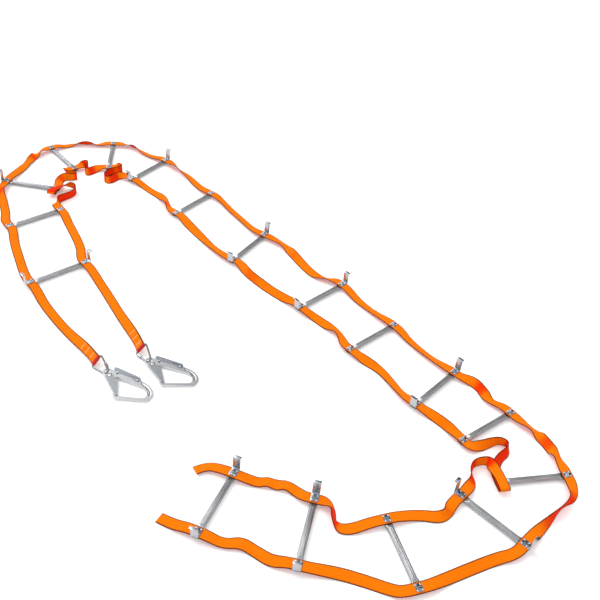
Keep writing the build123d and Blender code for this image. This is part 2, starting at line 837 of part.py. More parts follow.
for end in hook_ends:
    place = hook_plane(end)
    for name, master in (
        ("hook_body_", body_master),
        ("gate_", gate_master),
        ("lever_", lever_master),
        ("gate_spring_", gate_spring_master),
        ("lever_spring_", lever_spring_master),
    ):
        with BuildPart() as placed:
            with Locations(place):
                add(master.part)
        save(placed, name + end)
    with BuildPart() as pins:
        with Locations(place * Location((gate_pivot[0], gate_pivot[1], 0))):
            add(gate_rivet.part)
        with Locations(place * Location((lever_pivot[0], lever_pivot[1], 0))):
            add(lever_rivet.part)
    save(pins, "hook_rivets_" + end)
    with BuildPart() as latch:
        with Locations(place * Location((lever_pin[0], lever_pin[1], 0))):
            add(latch_rivet.part)
    save(latch, "lever_pin_" + end)
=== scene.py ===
import json
import math

import bpy
from mathutils import Matrix, Vector


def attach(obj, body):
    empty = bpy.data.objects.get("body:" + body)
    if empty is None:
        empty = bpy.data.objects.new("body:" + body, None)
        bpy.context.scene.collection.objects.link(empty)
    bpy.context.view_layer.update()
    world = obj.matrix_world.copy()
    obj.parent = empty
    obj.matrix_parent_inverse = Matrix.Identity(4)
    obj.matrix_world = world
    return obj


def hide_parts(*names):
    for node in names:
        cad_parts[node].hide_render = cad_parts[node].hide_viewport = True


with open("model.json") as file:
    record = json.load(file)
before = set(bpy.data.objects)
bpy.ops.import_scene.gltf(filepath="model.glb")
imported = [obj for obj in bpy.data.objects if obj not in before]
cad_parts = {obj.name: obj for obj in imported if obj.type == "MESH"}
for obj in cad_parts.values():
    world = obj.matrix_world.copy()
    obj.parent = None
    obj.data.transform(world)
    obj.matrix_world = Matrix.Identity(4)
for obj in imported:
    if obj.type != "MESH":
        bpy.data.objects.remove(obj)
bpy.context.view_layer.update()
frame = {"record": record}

bodyOf = {node: body for body, nodes in frame["record"]["behaviour"]["bodies"].items() for node in nodes}
finish = {
    "merge": 0.000005, "smooth": 35, "cut": 32, "round": 40, "webbing": 70, "sheetCorner": 50,
    "hookCorner": 45,
}  # metres between doubled points, then degrees between faces that count as smooth or as a corner
print("stage: frame loaded")


def eased(share):
    share = min(max(share, 0), 1)
    return share * share * (3 - 2 * share)


def heading(angle):
    return Vector((math.cos(math.radians(angle)), math.sin(math.radians(angle)), 0))


def chosen(pieces):
    bpy.ops.object.select_all(action="DESELECT")
    for piece in pieces:
        piece.select_set(True)
    bpy.context.view_layer.objects.active = pieces[0]


def only(piece):
    chosen([piece])


def joined(pieces, name):
    chosen(pieces)
    if len(pieces) > 1:
        bpy.ops.object.join()
    pieces[0].name = name
    pieces[0].data.name = name
    return pieces[0]


def linked(name, data):
    piece = bpy.data.objects.new(name, data)
    bpy.context.scene.collection.objects.link(piece)
    return piece


def meshPiece(name, points, faces, edges=()):
    mesh = bpy.data.meshes.new(name)
    mesh.from_pydata(points, edges, faces)
    return linked(name, mesh)


def begun(primitive, **settings):
    bpy.ops.object.select_all(action="DESELECT")
    primitive(**settings)
    return bpy.context.object


def modified(piece, kind, **settings):
    only(piece)
    modifier = piece.modifiers.new(kind, kind)
    for key, value in settings.items():
        setattr(modifier, key, value)
    bpy.ops.object.modifier_apply(modifier=modifier.name)


def picked(piece, kind, test):  # leaves edit mode open on what the test picks out
    bpy.ops.object.mode_set(mode="EDIT")
    bpy.ops.mesh.select_mode(type=kind)
    bpy.ops.mesh.select_all(action="DESELECT")
    bpy.ops.object.mode_set(mode="OBJECT")
    for part in piece.data.vertices if kind == "VERT" else piece.data.edges:
        part.select = test(part)
    bpy.ops.object.mode_set(mode="EDIT")


def cutAway(piece, cutter):
    modified(piece, "BOOLEAN", operation="DIFFERENCE", solver="EXACT", object=cutter)
    bpy.data.objects.remove(cutter)


def bevelled(piece, width, segments=2, angle=35):
    limit = {"limit_method": "ANGLE", "angle_limit": math.radians(angle)}
    modified(piece, "BEVEL", width=width, segments=segments, **limit)


def cleaned(piece, angle=finish["smooth"]):
    only(piece)
    bpy.ops.object.mode_set(mode="EDIT")
    bpy.ops.mesh.select_all(action="SELECT")
    bpy.ops.mesh.remove_doubles(threshold=finish["merge"])
    bpy.ops.mesh.normals_make_consistent(inside=False)
    bpy.ops.object.mode_set(mode="OBJECT")
    bpy.ops.object.shade_smooth_by_angle(angle=math.radians(angle))


def copies(master, name, places):
    made = []
    for number, place in enumerate(places):
        mesh = master.data.copy()
        mesh.transform(place)
        made.append(linked(name + str(number), mesh))
    return joined(made, name)


def dressed(piece, node, material):
    piece.data.materials.clear()
    piece.data.materials.append(material)
    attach(piece, bodyOf[node])
    return piece


def standsFor(piece, node, material):
    dressed(piece, node, material)
    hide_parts(node)
    return piece


# Materials
def colour(code):
    values = [int(code[k : k + 2], 16) / 255 for k in (0, 2, 4)]
    return [v / 12.92 if v <= 0.04045 else ((v + 0.055) / 1.055) ** 2.4 for v in values] + [1]


def addNode(tree, kind, values, **settings):
    node = tree.nodes.new("ShaderNode" + kind)
    for key, value in settings.items():
        setattr(node, key, value)
    for key, value in values.items():
        if isinstance(value, bpy.types.NodeSocket):
            tree.links.new(value, node.inputs[key])
        else:
            node.inputs[key].default_value = value
    return node.outputs


def newMaterial(name, code, roughness, metallic=0.0):
    material = bpy.data.materials.new(name)
    material.use_nodes = True
    shader = material.node_tree.nodes["Principled BSDF"]
    shader.inputs["Base Color"].default_value = colour(code)
    shader.inputs["Roughness"].default_value = roughness
    shader.inputs["Metallic"].default_value = metallic
    return material, material.node_tree, shader


def span(low, high):
    return {"From Min": low, "From Max": high}


# painted shade: the turned tones redden faces that point sideways or down
webbing = {
    "face": "FF7E00", "valley": "F87000", "turned": "FF3400", "paintedShadeValley": "EC2A00", "darkEdge": "5A2108",
    "rib": 2.2, "yarn": 1.5, "yarnShare": 0.25, "shade": (-1.2, 0.4), "bound": (18.8, 20.2),
    "paintedShadeSpan": (0.35, 0.75), "paintedShadeUnder": 0.9, "paintedShadeOnLegs": 0.3, "roughness": 0.85, "gloss": 0.08,
    "relief": 0.0003, "reliefStrength": 0.7,
}  # rib and yarn spacing in millimetres, drawn about twice as coarse as real so that they show


def webbingMaterial():
    material, tree, shader = newMaterial("polyester_webbing", webbing["face"], webbing["roughness"])
    place = addNode(tree, "UVMap", {}, uv_map="weave")
    split = addNode(tree, "SeparateXYZ", {0: place["UV"]})
    turns = addNode(tree, "Math", {0: split["Y"], 1: 2 * math.pi / webbing["rib"]}, operation="MULTIPLY")
    ribs = addNode(tree, "Math", {0: turns[0]}, operation="SINE")
    across = addNode(tree, "Math", {0: split["X"], 1: 2 * math.pi / webbing["yarn"]}, operation="MULTIPLY")
    yarns = addNode(tree, "Math", {0: across[0]}, operation="SINE")
    weaving = {0: yarns[0], 1: webbing["yarnShare"], 2: ribs[0]}
    weave = addNode(tree, "Math", weaving, operation="MULTIPLY_ADD")
    side = addNode(tree, "Math", {0: split["X"]}, operation="ABSOLUTE")
    edge = addNode(tree, "MapRange", {"Value": side[0], **span(*webbing["bound"])})
    shade = addNode(tree, "MapRange", {"Value": weave[0], **span(*webbing["shade"])})
    # painted shade: the tilt attribute mixes in the redder turned tones where a face points sideways or down
    tilt = addNode(tree, "Attribute", {}, attribute_name="tilt")
    paintedShadeRange = {"Value": tilt["Fac"], **span(*webbing["paintedShadeSpan"])}
    turned = addNode(tree, "MapRange", paintedShadeRange, interpolation_type="SMOOTHSTEP")
    tones = {key: colour(webbing[key]) for key in ("face", "valley", "turned", "paintedShadeValley", "darkEdge")}
    # painted shade: the valley colour darkens the rib and yarn valleys
    plain = addNode(tree, "Mix", {0: shade[0], 6: tones["valley"], 7: tones["face"]}, data_type="RGBA")
    ribbed = {0: shade[0], 6: tones["paintedShadeValley"], 7: tones["turned"]}
    paintedShadeTones = addNode(tree, "Mix", ribbed, data_type="RGBA")
    woven = addNode(tree, "Mix", {0: turned[0], 6: plain[2], 7: paintedShadeTones[2]}, data_type="RGBA")
    # darker brown along both edges, easing in between 18.8 and 20.2 mm from the middle
    bound = addNode(tree, "Mix", {0: edge[0], 6: woven[2], 7: tones["darkEdge"]}, data_type="RGBA")
    tree.links.new(bound[2], shader.inputs["Base Color"])
    relief = {"Strength": webbing["reliefStrength"], "Distance": webbing["relief"], "Height": weave[0]}
    tree.links.new(addNode(tree, "Bump", relief)["Normal"], shader.inputs["Normal"])
    shader.inputs["Specular IOR Level"].default_value = webbing["gloss"]  # dull yarn, hardly any gloss
    return material


noiseRange = span(0.35, 0.65)  # where most of a noise texture's values lie


def wornMetal(name, code, low, high, size):
    material, tree, shader = newMaterial(name, code, low, 1.0)
    place = addNode(tree, "TexCoord", {})
    noise = addNode(tree, "TexNoise", {"Vector": place["Object"], "Scale": 1000 / size, "Detail": 3.0})
    spread = addNode(tree, "MapRange", {"Value": noise[0], **noiseRange, "To Min": low, "To Max": high})
    tree.links.new(spread[0], shader.inputs["Roughness"])
    return material


dieLines = {
    "light": "C4C6C8", "dark": "77797D", "stretch": (0.01, 0.8, 1.0), "radius": 12.5,
    "gloss": {**span(0.3, 0.7), "To Min": 0.24, "To Max": 0.42},
}  # stretched along the tube, and laid round it at this radius in millimetres


def drawnMetal(name):
    material, tree, shader = newMaterial(name, dieLines["light"], dieLines["gloss"]["To Min"], 1.0)
    place = addNode(tree, "UVMap", {}, uv_map="draw")
    stretch = addNode(tree, "Mapping", {"Vector": place["UV"], "Scale": dieLines["stretch"]})
    noise = addNode(tree, "TexNoise", {"Vector": stretch[0], "Scale": 1.0, "Detail": 4.0})
    tone = addNode(tree, "MapRange", {"Value": noise[0], **noiseRange})
    shades = {0: tone[0], 6: colour(dieLines["dark"]), 7: colour(dieLines["light"])}
    tree.links.new(addNode(tree, "Mix", shades, data_type="RGBA")[2], shader.inputs["Base Color"])
    gloss = addNode(tree, "MapRange", {"Value": noise[0], **dieLines["gloss"]})
    tree.links.new(gloss[0], shader.inputs["Roughness"])
    return material


orangeWebbing = webbingMaterial()  # ribbed orange polyester; painted shade makes it darker in the rib valleys and redder where a face points sideways or down; darker brown along both edges
blackThread = newMaterial("black_thread", "17130F", 0.8)[0]  # edge stitching
paleThread = newMaterial("pale_thread", "FFC98F", 0.75)[0]  # bar tacks of the sewn ends
paintedShadeWrap = newMaterial("webbing_wrap_painted_shade", "C41A14", 0.7)[0]  # painted shade: deep red on the wrap round the link's base bar
aluminium = drawnMetal("extruded_aluminium")  # long die lines, soft sheen
plateSteel = wornMetal("nickel_plated_steel", "8A9199", 0.1, 0.18, 6.0)  # bright clamp plates
rivetSteel = wornMetal("polished_rivet_steel", "C4C8CC", 0.14, 0.22, 4.0)  # small hard glints
bracketSteel = wornMetal("zinc_plated_sheet", "B7BBC0", 0.2, 0.3, 9.0)  # satin bright sheet
linkSteel = wornMetal("chromed_wire", "8C9095", 0.07, 0.12, 14.0)  # mirror bands round the wire
hookSteel = wornMetal("zinc_plated_forging", "CDCFD2", 0.2, 0.23, 25.0)  # even satin, nearly white in light
gateSteel = wornMetal("zinc_plated_gate_sheet", "ABAEB3", 0.2, 0.24, 25.0)  # a shade darker than the hook
leverSteel = wornMetal("blue_passivated_zinc", "A4AAB2", 0.2, 0.24, 20.0)  # blue-grey cast
springSteel = wornMetal("spring_steel", "8E9094", 0.2, 0.3, 3.0)  # dark drawn wire
print("stage: materials made")

# Rungs and straps. Each rung: centre x, centre y and the angle from the inner strap to the outer one
rungPlaces = {
    1: (0.076, -1.108, -108.5), 2: (0.406, -1.188, -98.5), 3: (0.741, -1.233, -68.5), 4: (1.076, -1.053, -41),
    5: (1.261, -0.843, 14), 6: (1.111, -0.598, 40), 7: (0.911, -0.408, 50.5), 8: (0.641, -0.123, 45),
    9: (0.396, 0.137, 47), 10: (0.006, 0.472, 62), 11: (-0.339, 0.827, 57), 12: (-0.654, 1.132, 60),
    13: (-0.904, 1.247, 99), 14: (-1.164, 1.157, 134), 15: (-1.239, 0.837, 176), 16: (-1.114, 0.527, 224),
    17: (-0.864, 0.097, 224),
}

strap = {
    "half": 0.0225, "thick": 0.003, "sewnLayer": 0.00152, "sewnLength": 0.15, "floorGap": 0.0002,
    "splitGap": 0.0003, "splitReach": 0.024, "seat": 0.019573, "clampReach": 0.14, "resolution": 24,
    "rowLength": 0.006, "rowTurn": 0.16, "lastRow": 0.4, "edgeAway": 0.1, "lead": 0.04, "longLead": 0.06,
}
stitch = {
    "pitch": 0.0042, "length": 0.0021, "width": 0.0011, "proud": 0.00022, "offset": 0.018, "clear": 0.0165,
    "sunk": 0.0004, "groove": 0.14, "taper": 0.8,
}  # the edge line is pressed in by the groove's share of half the thickness

# Strap routes after each rung, 0 being the free tail: x, y, roll in degrees and any lift off the floor
routeA = {
    0: [(-0.114, -1.188, 0), (-0.064, -1.211, 4, 0.002)],
    1: [(0.126, -1.268, -8), (0.186, -1.263, 12, 0.012), (0.238, -1.283, 5), (0.294, -1.318, 20, 0.002)],
    2: [(0.526, -1.335, 18), (0.616, -1.353, 15), (0.696, -1.373, 12)],
    3: [(0.896, -1.308, 15), (0.971, -1.268, 25), (1.071, -1.213, 20)],
    4: [(1.281, -1.043, 60), (1.356, -0.958, 108), (1.406, -0.908, 40)],
    5: [(1.376, -0.718, 40), (1.356, -0.678, -45), (1.331, -0.633, -45), (1.301, -0.588, 45)],
    6: [(1.141, -0.445, 20), (1.116, -0.401, -55), (1.088, -0.351, -50)],
    7: [(0.916, -0.223, 20), (0.861, -0.168, 18), (0.806, -0.101, 12)],
    8: [(0.646, 0.067, 18), (0.571, 0.147, 5)],
    9: [(0.411, 0.279, 40), (0.351, 0.307, -12), (0.291, 0.382, -15), (0.236, 0.452, -48),
        (0.186, 0.532, 30)],
    10: [(-0.009, 0.667, 12), (-0.069, 0.739, 16), (-0.129, 0.807, 15), (-0.189, 0.887, 20)],
    11: [(-0.349, 1.027, 0), (-0.429, 1.127, 22), (-0.502, 1.185, 55)],
    12: [(-0.676, 1.302, 8), (-0.739, 1.337, 20), (-0.789, 1.375, 58), (-0.836, 1.395, 30)],
    13: [(-1.014, 1.367, 14), (-1.064, 1.359, 58), (-1.107, 1.352, 52), (-1.149, 1.347, 16),
        (-1.192, 1.317, 0)],
    14: [(-1.312, 1.187, 50), (-1.326, 1.132, -58), (-1.342, 1.077, 15), (-1.349, 1.002, -20)],
    15: [(-1.376, 0.759, 50), (-1.362, 0.712, 30), (-1.326, 0.645, 5), (-1.282, 0.557, 0)],
    16: [(-1.154, 0.317, 0), (-1.094, 0.207, 0), (-1.036, 0.102, 0)],
    17: [(-0.869, -0.116, 0, 0.001), (-0.782, -0.215, 0, 0.002), (-0.696, -0.301, 0, 0.002)],
}
routeB = {
    0: [(-0.024, -0.973, -8, 0.002), (0.016, -0.945, -10, 0.004)],
    1: [(0.216, -0.995, 5), (0.248, -0.993, -5, 0.014), (0.284, -0.999, 10), (0.32, -0.999, -5, 0.014),
        (0.361, -1.018, 5, 0.002)],
    2: [(0.498, -1.088, -62), (0.498, -1.133, -60), (0.523, -1.155, 0), (0.566, -1.155, 8, 0.004)],
    3: [(0.816, -1.061, 10), (0.876, -1.068, 18, 0.003), (0.914, -1.053, 50)],
    4: [(1.026, -0.886, 55), (1.018, -0.845, 72), (1.029, -0.809, 80), (1.06, -0.789, 80),
        (1.088, -0.789, 80, 0.004), (1.1, -0.813, 30, 0.022)],
    5: [(1.124, -0.791, 40), (1.146, -0.755, 55), (1.178, -0.725, 62), (1.186, -0.689, 80),
        (1.154, -0.671, 90), (1.116, -0.686, 112), (1.076, -0.705, 140)],
    6: [(0.944, -0.615, -40), (0.898, -0.571, -30)],
    7: [(0.761, -0.451, 20), (0.719, -0.383, 12), (0.676, -0.318, 0), (0.614, -0.283, -35)],
    8: [(0.504, -0.143, 22), (0.478, -0.101, 30, 0.003), (0.431, -0.071, -22), (0.374, -0.018, -12)],
    9: [(0.218, 0.092, -35), (0.146, 0.149, -22), (0.076, 0.202, -50), (0.024, 0.257, -42)],
    10: [(-0.174, 0.442, 18), (-0.259, 0.542, -10), (-0.334, 0.622, -35)],
    11: [(-0.476, 0.789, 58), (-0.526, 0.869, -18), (-0.586, 0.915, 0), (-0.646, 0.967, 0)],
    12: [(-0.806, 1.027, -55), (-0.824, 0.982, -60), (-0.854, 0.955, -80), (-0.882, 0.992, -90),
        (-0.867, 1.042, -88), (-0.842, 1.069, -90), (-0.814, 1.085, -90), (-0.8, 1.107, -90, 0.001),
        (-0.82, 1.12, -86, 0.002)],
    13: [(-0.954, 1.067, -45), (-0.976, 1.025, -65), (-1, 1.029, -88), (-1, 1.073, -90),
        (-0.998, 1.109, -90, 0.001), (-1.018, 1.117, -90, 0.001)],
    14: [(-1.102, 1.002, -60), (-1.079, 0.979, -85), (-1.042, 0.989, -90), (-1.022, 0.969, -90),
        (-1.044, 0.949, -90), (-1.089, 0.952, -60), (-1.112, 0.915, -30)],
    15: [(-1.084, 0.814, -12, 0.025), (-1.062, 0.839, -26, 0.025), (-1.034, 0.863, -70, 0.008),
        (-1.006, 0.859, -88), (-0.988, 0.829, -90), (-0.992, 0.782, -90), (-1.024, 0.747, -90),
        (-1.054, 0.712, -75)],
    16: [(-0.949, 0.537, 0), (-0.904, 0.467, 0), (-0.824, 0.335, 0)],
    17: [(-0.664, 0.079, 0, 0.001), (-0.586, -0.031, 2, 0.002), (-0.509, -0.143, 0, 0.002)],
}

# Where the inner strap doubles back at a clamp: along it, rise and roll of each spot
foldedSpots = {
    5: [
        (0.01, 0.016, 0), (-0.034, 0.016, 0), (-0.05, 0.016, 0), (-0.05, 0, 180), (-0.034, 0, 180),
        (0, 0, 180), (0.04, 0, 180),
    ],
    15: [(-0.04, 0, 0), (0, 0, 0), (0.045, 0, 0), (0.072, 0, 0), (0.072, 0.018, 180), (0.05, 0.018, 180)],
}

hookEnds = {
    "a": {"bar": (-0.526, -0.474, 0.027), "link": -40, "eye": 0.0155, "gate": -63, "side": -1, "near": False},
    "b": {"bar": (-0.36, -0.374, 0.03), "link": -50, "eye": 0.0155, "gate": -56, "side": 1, "near": True},
}  # link and gate are headings in degrees; side and near say where on the link its nut sits
link = {
    "radius": 0.004, "half": 0.03, "corner": 0.007, "length": 0.078, "apex": 0.014, "tilt": 46,
    "eyePast": 0.002, "gap": 0.006, "inset": 0.015, "bends": (16, 10), "sides": 7,
}
bracketed = {"a": [1, 2, 4, 7, 9, 10, 12, 15, 17], "b": [1, 2, 4, 7, 9, 10, 12, 17]}


def linkMatrix(end):
    spec = hookEnds[end]
    drop = spec["bar"][2] - spec["eye"]
    length = link["length"] + link["eyePast"]
    flat = math.sqrt(length * length - drop * drop)
    forward = (heading(spec["link"]) * flat - Vector((0, 0, drop))).normalized()
    right = heading(spec["link"] - 90)
    upright = right.cross(forward)
    tilt = math.radians(link["tilt"])
    across = right * math.cos(tilt) - upright * math.sin(tilt)
    return axesMatrix(Vector(spec["bar"]), across, across.cross(forward))


def axesMatrix(origin, xAxis, zAxis):
    xAxis = xAxis.normalized()
    zAxis = zAxis.normalized()
    yAxis = zAxis.cross(xAxis)
    return Matrix([[xAxis[k], yAxis[k], zAxis[k], origin[k]] for k in range(3)] + [[0, 0, 0, 1]])


def clampAt(number, side, along=0.0, rise=0.0):
    x, y, angle = rungPlaces[number]
    reach = strap["clampReach"] if side == "a" else -strap["clampReach"]
    return Vector((x, y, strap["seat"] + rise)) + heading(angle) * reach + heading(angle + 90) * along


def stepAt(spots, index):  # from the neighbour before to the neighbour after
    return Vector(spots[min(index + 1, len(spots) - 1)]) - Vector(spots[max(index - 1, 0)])


def routeSpots(side, first, last):
    route = routeA if side == "a" else routeB
    folds = foldedSpots if side == "b" else {}
    spots = []
    for number in range(first, last + 1):
        leadIn = strap["longLead"] if number in (3, 4, 16) else strap["lead"]
        leadOut = strap["longLead"] if number == 17 else strap["lead"]
        plain = [(-leadIn, 0, 0), (0, 0, 0), (leadOut, 0, 0)] if number > 0 else []
        for along, rise, roll in folds.get(number, plain):
            spots.append((clampAt(number, side, along, rise), roll, None))
        if number < last or number == 17:
            turned = 180 if number in folds else 0
            for x, y, roll, *lift in route[number]:
                spots.append((Vector((x, y, 0)), roll + turned, sum(lift)))
    return spots


def withEdges(spots):  # rests each spot on the floor and finds the way to the webbing's left edge
    points = []
    for spot, roll, lift in spots:
        turn = math.radians(roll)
        if lift is not None:
            rest = abs(math.cos(turn)) * strap["thick"] / 2 + abs(math.sin(turn)) * strap["half"]
            spot = Vector((spot.x, spot.y, rest + lift + strap["floorGap"]))
        points.append(spot)
    edged = []
    for index, spot in enumerate(points):
        step = stepAt(points, index)
        ahead = Vector((step.x, step.y, 0)).normalized()
        turn = math.radians(spots[index][1])
        left = Vector((-ahead.y, ahead.x, 0)) * math.cos(turn) + Vector((0, 0, 1)) * math.sin(turn)
        edged.append((spot, left))
    return edged


def trimmed(edged, number, side, start=None, stop=None):  # cut at so many metres along from a clamp
    centre = clampAt(number, side)
    index = min(range(len(edged)), key=lambda k: (edged[k][0] - centre).length)
    if stop is not None:
        kept = edged[:index] if stop < 0 else edged[: index + 1]
        return kept + [(clampAt(number, side, stop), edged[index][1])]
    kept = edged[index:] if start < 0 else edged[index + 1 :]
    return [(clampAt(number, side, start), edged[index][1])] + kept


def curvePoints(curve):
    holder = bpy.data.objects.new(curve.name, curve)
    mesh = bpy.data.meshes.new_from_object(holder)
    points = [vertex.co.copy() for vertex in mesh.vertices]
    bpy.data.objects.remove(holder)
    bpy.data.curves.remove(curve)
    bpy.data.meshes.remove(mesh)
    return points


def splineThrough(curve, kind, spots):
    spline = curve.splines.new(kind)
    spline.points.add(len(spots) - 1)
    for point, spot in zip(spline.points, spots):
        point.co = (*spot, 1)
    return spline


def splinePoints(spots):
    curve = bpy.data.curves.new("route", "CURVE")
    curve.dimensions = "3D"
    spline = splineThrough(curve, "NURBS", spots)
    spline.order_u = 3
    spline.use_endpoint_u = True
    spline.resolution_u = strap["resolution"]
    return curvePoints(curve)


def strapRows(edged, rowLength, rowTurn):
    centres = splinePoints([spot for spot, left in edged])
    edges = splinePoints([spot + left * strap["edgeAway"] for spot, left in edged])
    dense = []
    for index, centre in enumerate(centres):
        forward = stepAt(centres, index).normalized()
        left = edges[index] - centre
        left = (left - forward * left.dot(forward)).normalized()
        dense.append((centre, forward, left))
    rows = [dense[0]]
    for index in range(1, len(dense)):
        centre, forward, left = dense[index]
        before = rows[-1]
        length = (centre - before[0]).length
        turn = forward.angle(before[1], 0) + left.angle(before[2], 0)
        last = index == len(dense) - 1
        if last and length < rowLength * strap["lastRow"] and len(rows) > 1:
            rows.pop()
        if length >= rowLength or turn >= rowTurn or last:
            rows.append(dense[index])
    return rows


def grounded(rows, half):  # raised wherever the webbing would dip into the floor
    raised = []
    for centre, forward, left in rows:
        normal = forward.cross(left)
        needed = abs(left.z) * strap["half"] + abs(normal.z) * half + strap["floorGap"]
        raised.append((Vector((centre.x, centre.y, max(centre.z, needed))), forward, left))
    return raised


strapProfile = [
    (-22.5, 0.0), (-22.2, 0.6), (-21.4, 0.93), (-19.2, 0.98), (-18.0, 0.86), (-16.8, 0.98), (-8.0, 1.0),
    (0.0, 1.0), (8.0, 1.0), (16.8, 0.98), (18.0, 0.86), (19.2, 0.98), (21.4, 0.93), (22.2, 0.6), (22.5, 0.0),
]
strapProfile += [(x, -y) for x, y in reversed(strapProfile[1:-1])]


def ribbonParts(rows, lifts, begun=0.0, paintedShadeShare=1.0):
    points, faces, places = [], [], []
    count = len(strapProfile)
    along = begun
    for index, (centre, forward, left) in enumerate(rows):
        normal = forward.cross(left)
        if index:
            along += (centre - rows[index - 1][0]).length
        for x, y in strapProfile:
            points.append(centre + left * (x / 1000) + normal * (lifts[index] + y * strap["thick"] / 2))
            # painted shade: tilt grows where a face points sideways along x, and more where it faces down
            turned = abs(normal.x) + max(-math.copysign(normal.z, y), 0) * webbing["paintedShadeUnder"]
            places.append((x, along * 1000, turned * paintedShadeShare))
    for row in range(len(rows) - 1):
        for k in range(count):
            start, stop, beside = row * count, (row + 1) * count, (k + 1) % count
            faces.append((start + k, stop + k, stop + beside, start + beside))
    last = (len(rows) - 1) * count
    faces.append(tuple(range(count)))
    faces.append(tuple(last + k for k in reversed(range(count))))
    return points, faces, places


def ribbonPiece(name, parts):
    points, faces, places = [], [], []
    for morePoints, moreFaces, morePlaces in parts:
        base = len(points)
        points += morePoints
        places += morePlaces
        faces += [tuple(base + k for k in face) for face in moreFaces]
    piece = meshPiece(name, points, faces)
    layer = piece.data.uv_layers.new(name="weave")
    for loop in piece.data.loops:
        layer.data[loop.index].uv = places[loop.vertex_index][:2]
    # the tilt attribute carries the painted shade to the material
    tilt = piece.data.attributes.new("tilt", "FLOAT", "POINT")
    for index, place in enumerate(places):
        tilt.data[index].value = place[2]
    only(piece)
    bpy.ops.object.shade_smooth_by_angle(angle=math.radians(finish["webbing"]))
    return piece


def stitchBox(points, faces, centre, along, across, up, half, wide, proud):
    base = len(points)
    for rise, shrink in ((-stitch["sunk"], 1.0), (proud, stitch["taper"])):
        for i, j in ((-1, -1), (1, -1), (1, 1), (-1, 1)):
            points.append(centre + along * (i * half * shrink) + across * (j * wide * shrink) + up * rise)
    for face in ((3, 2, 1, 0), (4, 5, 6, 7), (0, 1, 5, 4), (1, 2, 6, 5), (2, 3, 7, 6), (3, 0, 4, 7)):
        faces.append(tuple(base + k for k in face))


def edgeStitches(name, rows, halves, side, numbers):
    points, faces = [], []
    covered = [(clampAt(number, side), number in bracketed[side]) for number in numbers]
    due = stitch["pitch"]
    for index in range(1, len(rows)):
        start, stop = rows[index - 1], rows[index]
        span = stop[0] - start[0]
        while due <= span.length:
            share = due / span.length
            centre = start[0].lerp(stop[0], share)
            forward = start[1].lerp(stop[1], share).normalized()
            left = start[2].lerp(stop[2], share).normalized()
            normal = forward.cross(left).normalized()
            half = halves[index]
            under = [held for spot, held in covered if (spot - centre).length < stitch["clear"]]
            for face in (-1, 1):
                facing = normal * face
                if under and (facing.z < 0 or under[0]):  # under a plate or on a rung
                    continue
                for edge in (-1, 1):
                    dip = half * stitch["groove"]
                    spot = centre + left * (edge * stitch["offset"]) + facing * (half - dip)
                    stitchBox(
                        points, faces, spot, forward, left * face, facing,
                        stitch["length"] / 2, stitch["width"] / 2, stitch["proud"] + dip,
                    )
            due += stitch["pitch"]
        due -= span.length
    return meshPiece(name, points, faces)


near = strap["splitReach"] - strap["splitGap"] / 2
far = strap["splitReach"] + strap["splitGap"] / 2
strapPieces = {
    "tail": {"from": 0, "to": 3, "start": None, "stop": -far, "clamps": (1, 2, 3), "end": "bare"},
    "third": {"from": 3, "to": 4, "start": -near, "stop": -far, "clamps": (3, 4), "end": "object"},
    "main": {"from": 4, "to": 10, "start": -near, "stop": -far, "clamps": range(4, 11), "end": "object"},
    "high": {"from": 10, "to": 16, "start": -near, "stop": -far, "clamps": range(10, 17), "end": "object"},
    "head": {"from": 16, "to": 17, "start": -near, "stop": near, "clamps": (16, 17), "end": "object"},
}

for side in ("a", "b"):
    for part, spec in strapPieces.items():
        node = "strap_" + part + "_" + side
        edged = withEdges(routeSpots(side, spec["from"], spec["to"]))
        edged = trimmed(edged, spec["to"], side, stop=spec["stop"])
        if spec["start"] is not None:
            edged = trimmed(edged, spec["from"], side, start=spec["start"])
        rows = grounded(strapRows(edged, strap["rowLength"], strap["rowTurn"]), strap["thick"] / 2)
        piece = ribbonPiece("webbing_" + part + "_" + side, [ribbonParts(rows, [0.0] * len(rows))])
        standsFor(piece, node, orangeWebbing)
        halves = [strap["thick"] / 2] * len(rows)
        sewing = edgeStitches("stitches_" + part + "_" + side, rows, halves, side, spec["clamps"])
        dressed(sewing, node, blackThread)
        path = [row[0] for row in rows]
        if part == "tail":
            path.reverse()
print("stage: straps made")

# Legs: webbing folded round the link's base bar, its wrap painted deep red as shade, and sewn back on itself
loop = {
    "radius": 0.00632, "reach": 0.03, "lead": 0.078, "neck": 0.018, "neckRise": 0.0026, "shadeWrapFrom": 0.008,
    "fadeFrom": 0.012, "fade": 0.016, "rowLength": 0.002, "rowTurn": 0.3, "weaveShift": 0.0007,
    "angles": (112.5, 67.5, 22.5, -22.5, -67.5, -112.5),
}
tack = {
    "places": (0.036, 0.074, 0.112), "length": 0.009, "wide": 0.015, "count": 15, "thread": 0.0009,
    "slant": (0.97, 0.24), "proud": 0.0004, "sunk": 0.0001,
}


def layerShare(left):  # 1 where the webbing is sewn double, easing to 0 beyond
    return eased((strap["sewnLength"] + loop["fadeFrom"] - left) / loop["fade"])


def barTacks(name, rows, left, halves):
    points, faces = [], []
    for away in tack["places"]:
        index = min(range(len(rows)), key=lambda k: abs(left[k] - away))
        centre, forward, across = rows[index]
        normal = forward.cross(across)
        for face in (-1, 1):
            for k in range(tack["count"]):
                shift = (k / (tack["count"] - 1) - 0.5) * 2 * tack["wide"]
                lean = tack["slant"][1] if k % 2 else -tack["slant"][1]
                slant = (forward * tack["slant"][0] + across * lean).normalized()
                spot = centre + across * shift + normal * (face * (halves[index] - tack["sunk"]))
                stitchBox(
                    points, faces, spot, slant, slant.cross(normal) * -1 * face, normal * face,
                    tack["length"] / 2, tack["thread"] / 2, tack["proud"],
                )
    return meshPiece(name, points, faces)


